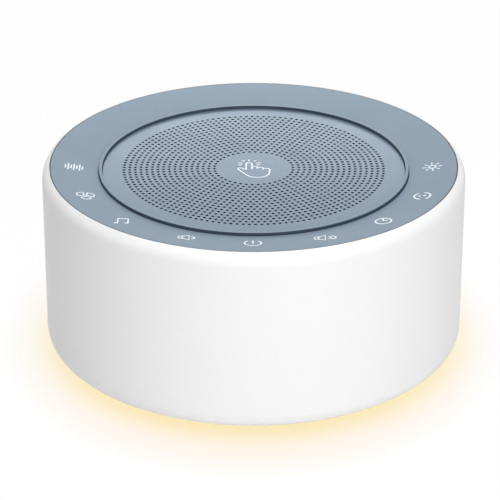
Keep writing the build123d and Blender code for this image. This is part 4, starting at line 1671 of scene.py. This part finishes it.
# %% Lay the two loose leads
LEAD_R = 0.3 * MM
LEAD_AZIMUTH = 200
LEAD_SIDE = 1.5
LEAD_PATH = [(25.2, 33.9), (22.4, 33.9), (19.6, 36.6), (17.6, 38.55)]
LEAD_STILL = 24.0 * MM
LEAD_MOVING = 18.4 * MM
EASE_ROUNDS = 4


def eased(points):
    """A bent line with its corners cut off again and again, until it is smooth."""
    for _ in range(EASE_ROUNDS):
        inner = [a.lerp(b, share) for a, b in zip(points, points[1:]) for share in (0.25, 0.75)]
        points = [points[0]] + inner + [points[-1]]
    return points


leads = bpy.data.curves.new("cone_leads", "CURVE")
leads.dimensions = "3D"
leads.bevel_depth = LEAD_R
leads.bevel_resolution = 3
leads.use_fill_caps = True
out_x, out_y = on_circle(MM, LEAD_AZIMUTH)
for side in (-LEAD_SIDE, LEAD_SIDE):
    path = eased([Vector((r * out_x - side * out_y, r * out_y + side * out_x, z * MM)) for r, z in LEAD_PATH])
    spline = leads.splines.new("POLY")
    spline.points.add(len(path) - 1)
    for point, place in zip(spline.points, path):
        point.co = (*place, 1)
cone_leads = drawn_solid("cone_leads", leads, WELD)
smooth(cone_leads)
bend(cone_leads, LEAD_AZIMUTH, LEAD_STILL, LEAD_MOVING)
install(cone_leads, "tinsel_leads", still=False)

# %% [markdown]
# ## The floor
# The floor only stages the machine. It is plain white, it keeps the drum's soft shadow, and close to the drum
# it shows the warm light that escapes under the edge. That light would be lost on a floor that is already
# white, so the floor's own colour carries it as painted light: warm next to the drum, and white a few
# centimetres away. Under the drum the floor is clear, so that the lamp below lights the underside, and
# towards that opening reflections and bounced light see it darker, as painted shade of the gap under a
# standing drum.

# %% Lay the floor
FLOOR_SIZE = 8.0
GLOW_START = 44.9 * MM
GLOW_REACH = 23.4 * MM
GLOW_STRETCH = 0.887
GLOW_GREEN, GREEN_FADE = 0.838, 1.15
GLOW_BLUE, BLUE_FADE = 0.69, 1.26
CLOSE_START = 51.3 * MM
CLOSE_REACH = 9.2 * MM
CLOSE_BLUE = 0.722
FLOOR_SHADE = 0.08
FLOOR_SHOWN = 0.92
FLOOR_LIT = 0.8
UNDER_START = 42.0 * MM
UNDER_END = 52.0 * MM
UNDER_LEFT = 0.12
FLOOR_OPEN_R = 41.0 * MM

bpy.ops.mesh.primitive_plane_add(size=FLOOR_SIZE, location=(0, 0, 0))
floor = bpy.context.object
floor.name = "floor"
print("floor", FLOOR_SIZE, "m wide")


# %% Give the floor its look
def radius_of(tree, place):
    """The length of a vector."""
    return add(tree, "VectorMath", "LENGTH", Vector=place).outputs["Value"]


def floor_for_the_eye(tree, radius, place, covered):
    """Faint shadow and a warm rim of painted light, as a shader that gives its own light."""
    squash = add(tree, "Mapping", Vector=place, Scale=(1, GLOW_STRETCH, 0))
    far = ramp(tree, radius_of(tree, squash.outputs[0]), GLOW_START, GLOW_START + GLOW_REACH)
    green = ramp(tree, math_node(tree, "POWER", far, GREEN_FADE), 0, 1, GLOW_GREEN, 1)
    blue = ramp(tree, math_node(tree, "POWER", far, BLUE_FADE), 0, 1, GLOW_BLUE, 1)
    close = ramp(tree, radius, CLOSE_START, CLOSE_START + CLOSE_REACH, CLOSE_BLUE, 1)
    warm = add(tree, "CombineColor", Red=1.0, Green=green, Blue=math_node(tree, "MULTIPLY", blue, close))
    from_camera = add(tree, "LightPath").outputs["Is Camera Ray"]
    strength = math_node(tree, "MULTIPLY", math_node(tree, "MAXIMUM", from_camera, covered), FLOOR_SHOWN)
    both = tree.nodes.new("ShaderNodeAddShader")
    shown = add(tree, "Emission", Color=warm.outputs[0], Strength=strength)
    faint = add(tree, "BsdfDiffuse", Color=(FLOOR_SHADE,) * 3 + (1,))
    for shader, socket in zip((shown, faint), both.inputs):
        tree.links.new(shader.outputs[0], socket)
    return both


def floor_white():
    """White floor for light, with painted shade round the opening; for the eye, a faint shadow and a painted
    warm rim. Clear from below.
    """
    material = bpy.data.materials.new("floor_white")
    material.use_nodes = True
    tree = material.node_tree
    tree.nodes.remove(tree.nodes["Principled BSDF"])
    place = add(tree, "TexCoord").outputs["Object"]
    radius = radius_of(tree, place)
    # Towards the opening under the drum the floor is painted darker: painted shade for reflections and
    # bounced light.
    covered = ramp(tree, radius, UNDER_START, UNDER_END, UNDER_LEFT, 1)
    seen = floor_for_the_eye(tree, radius, place, covered)
    lit = add(tree, "BsdfDiffuse", Color=math_node(tree, "MULTIPLY", covered, FLOOR_LIT))
    upper = mix_shaders(tree, seen_rays(tree), lit, seen)
    beneath = math_node(tree, "LESS_THAN", radius, FLOOR_OPEN_R)
    from_below = add(tree, "NewGeometry").outputs["Backfacing"]
    clear = add(tree, "BsdfTransparent")
    both_sides = mix_shaders(tree, math_node(tree, "MAXIMUM", from_below, beneath), upper, clear)
    tree.links.new(both_sides.outputs[0], tree.nodes["Material Output"].inputs["Surface"])
    return material


floor.data.materials.append(floor_white())
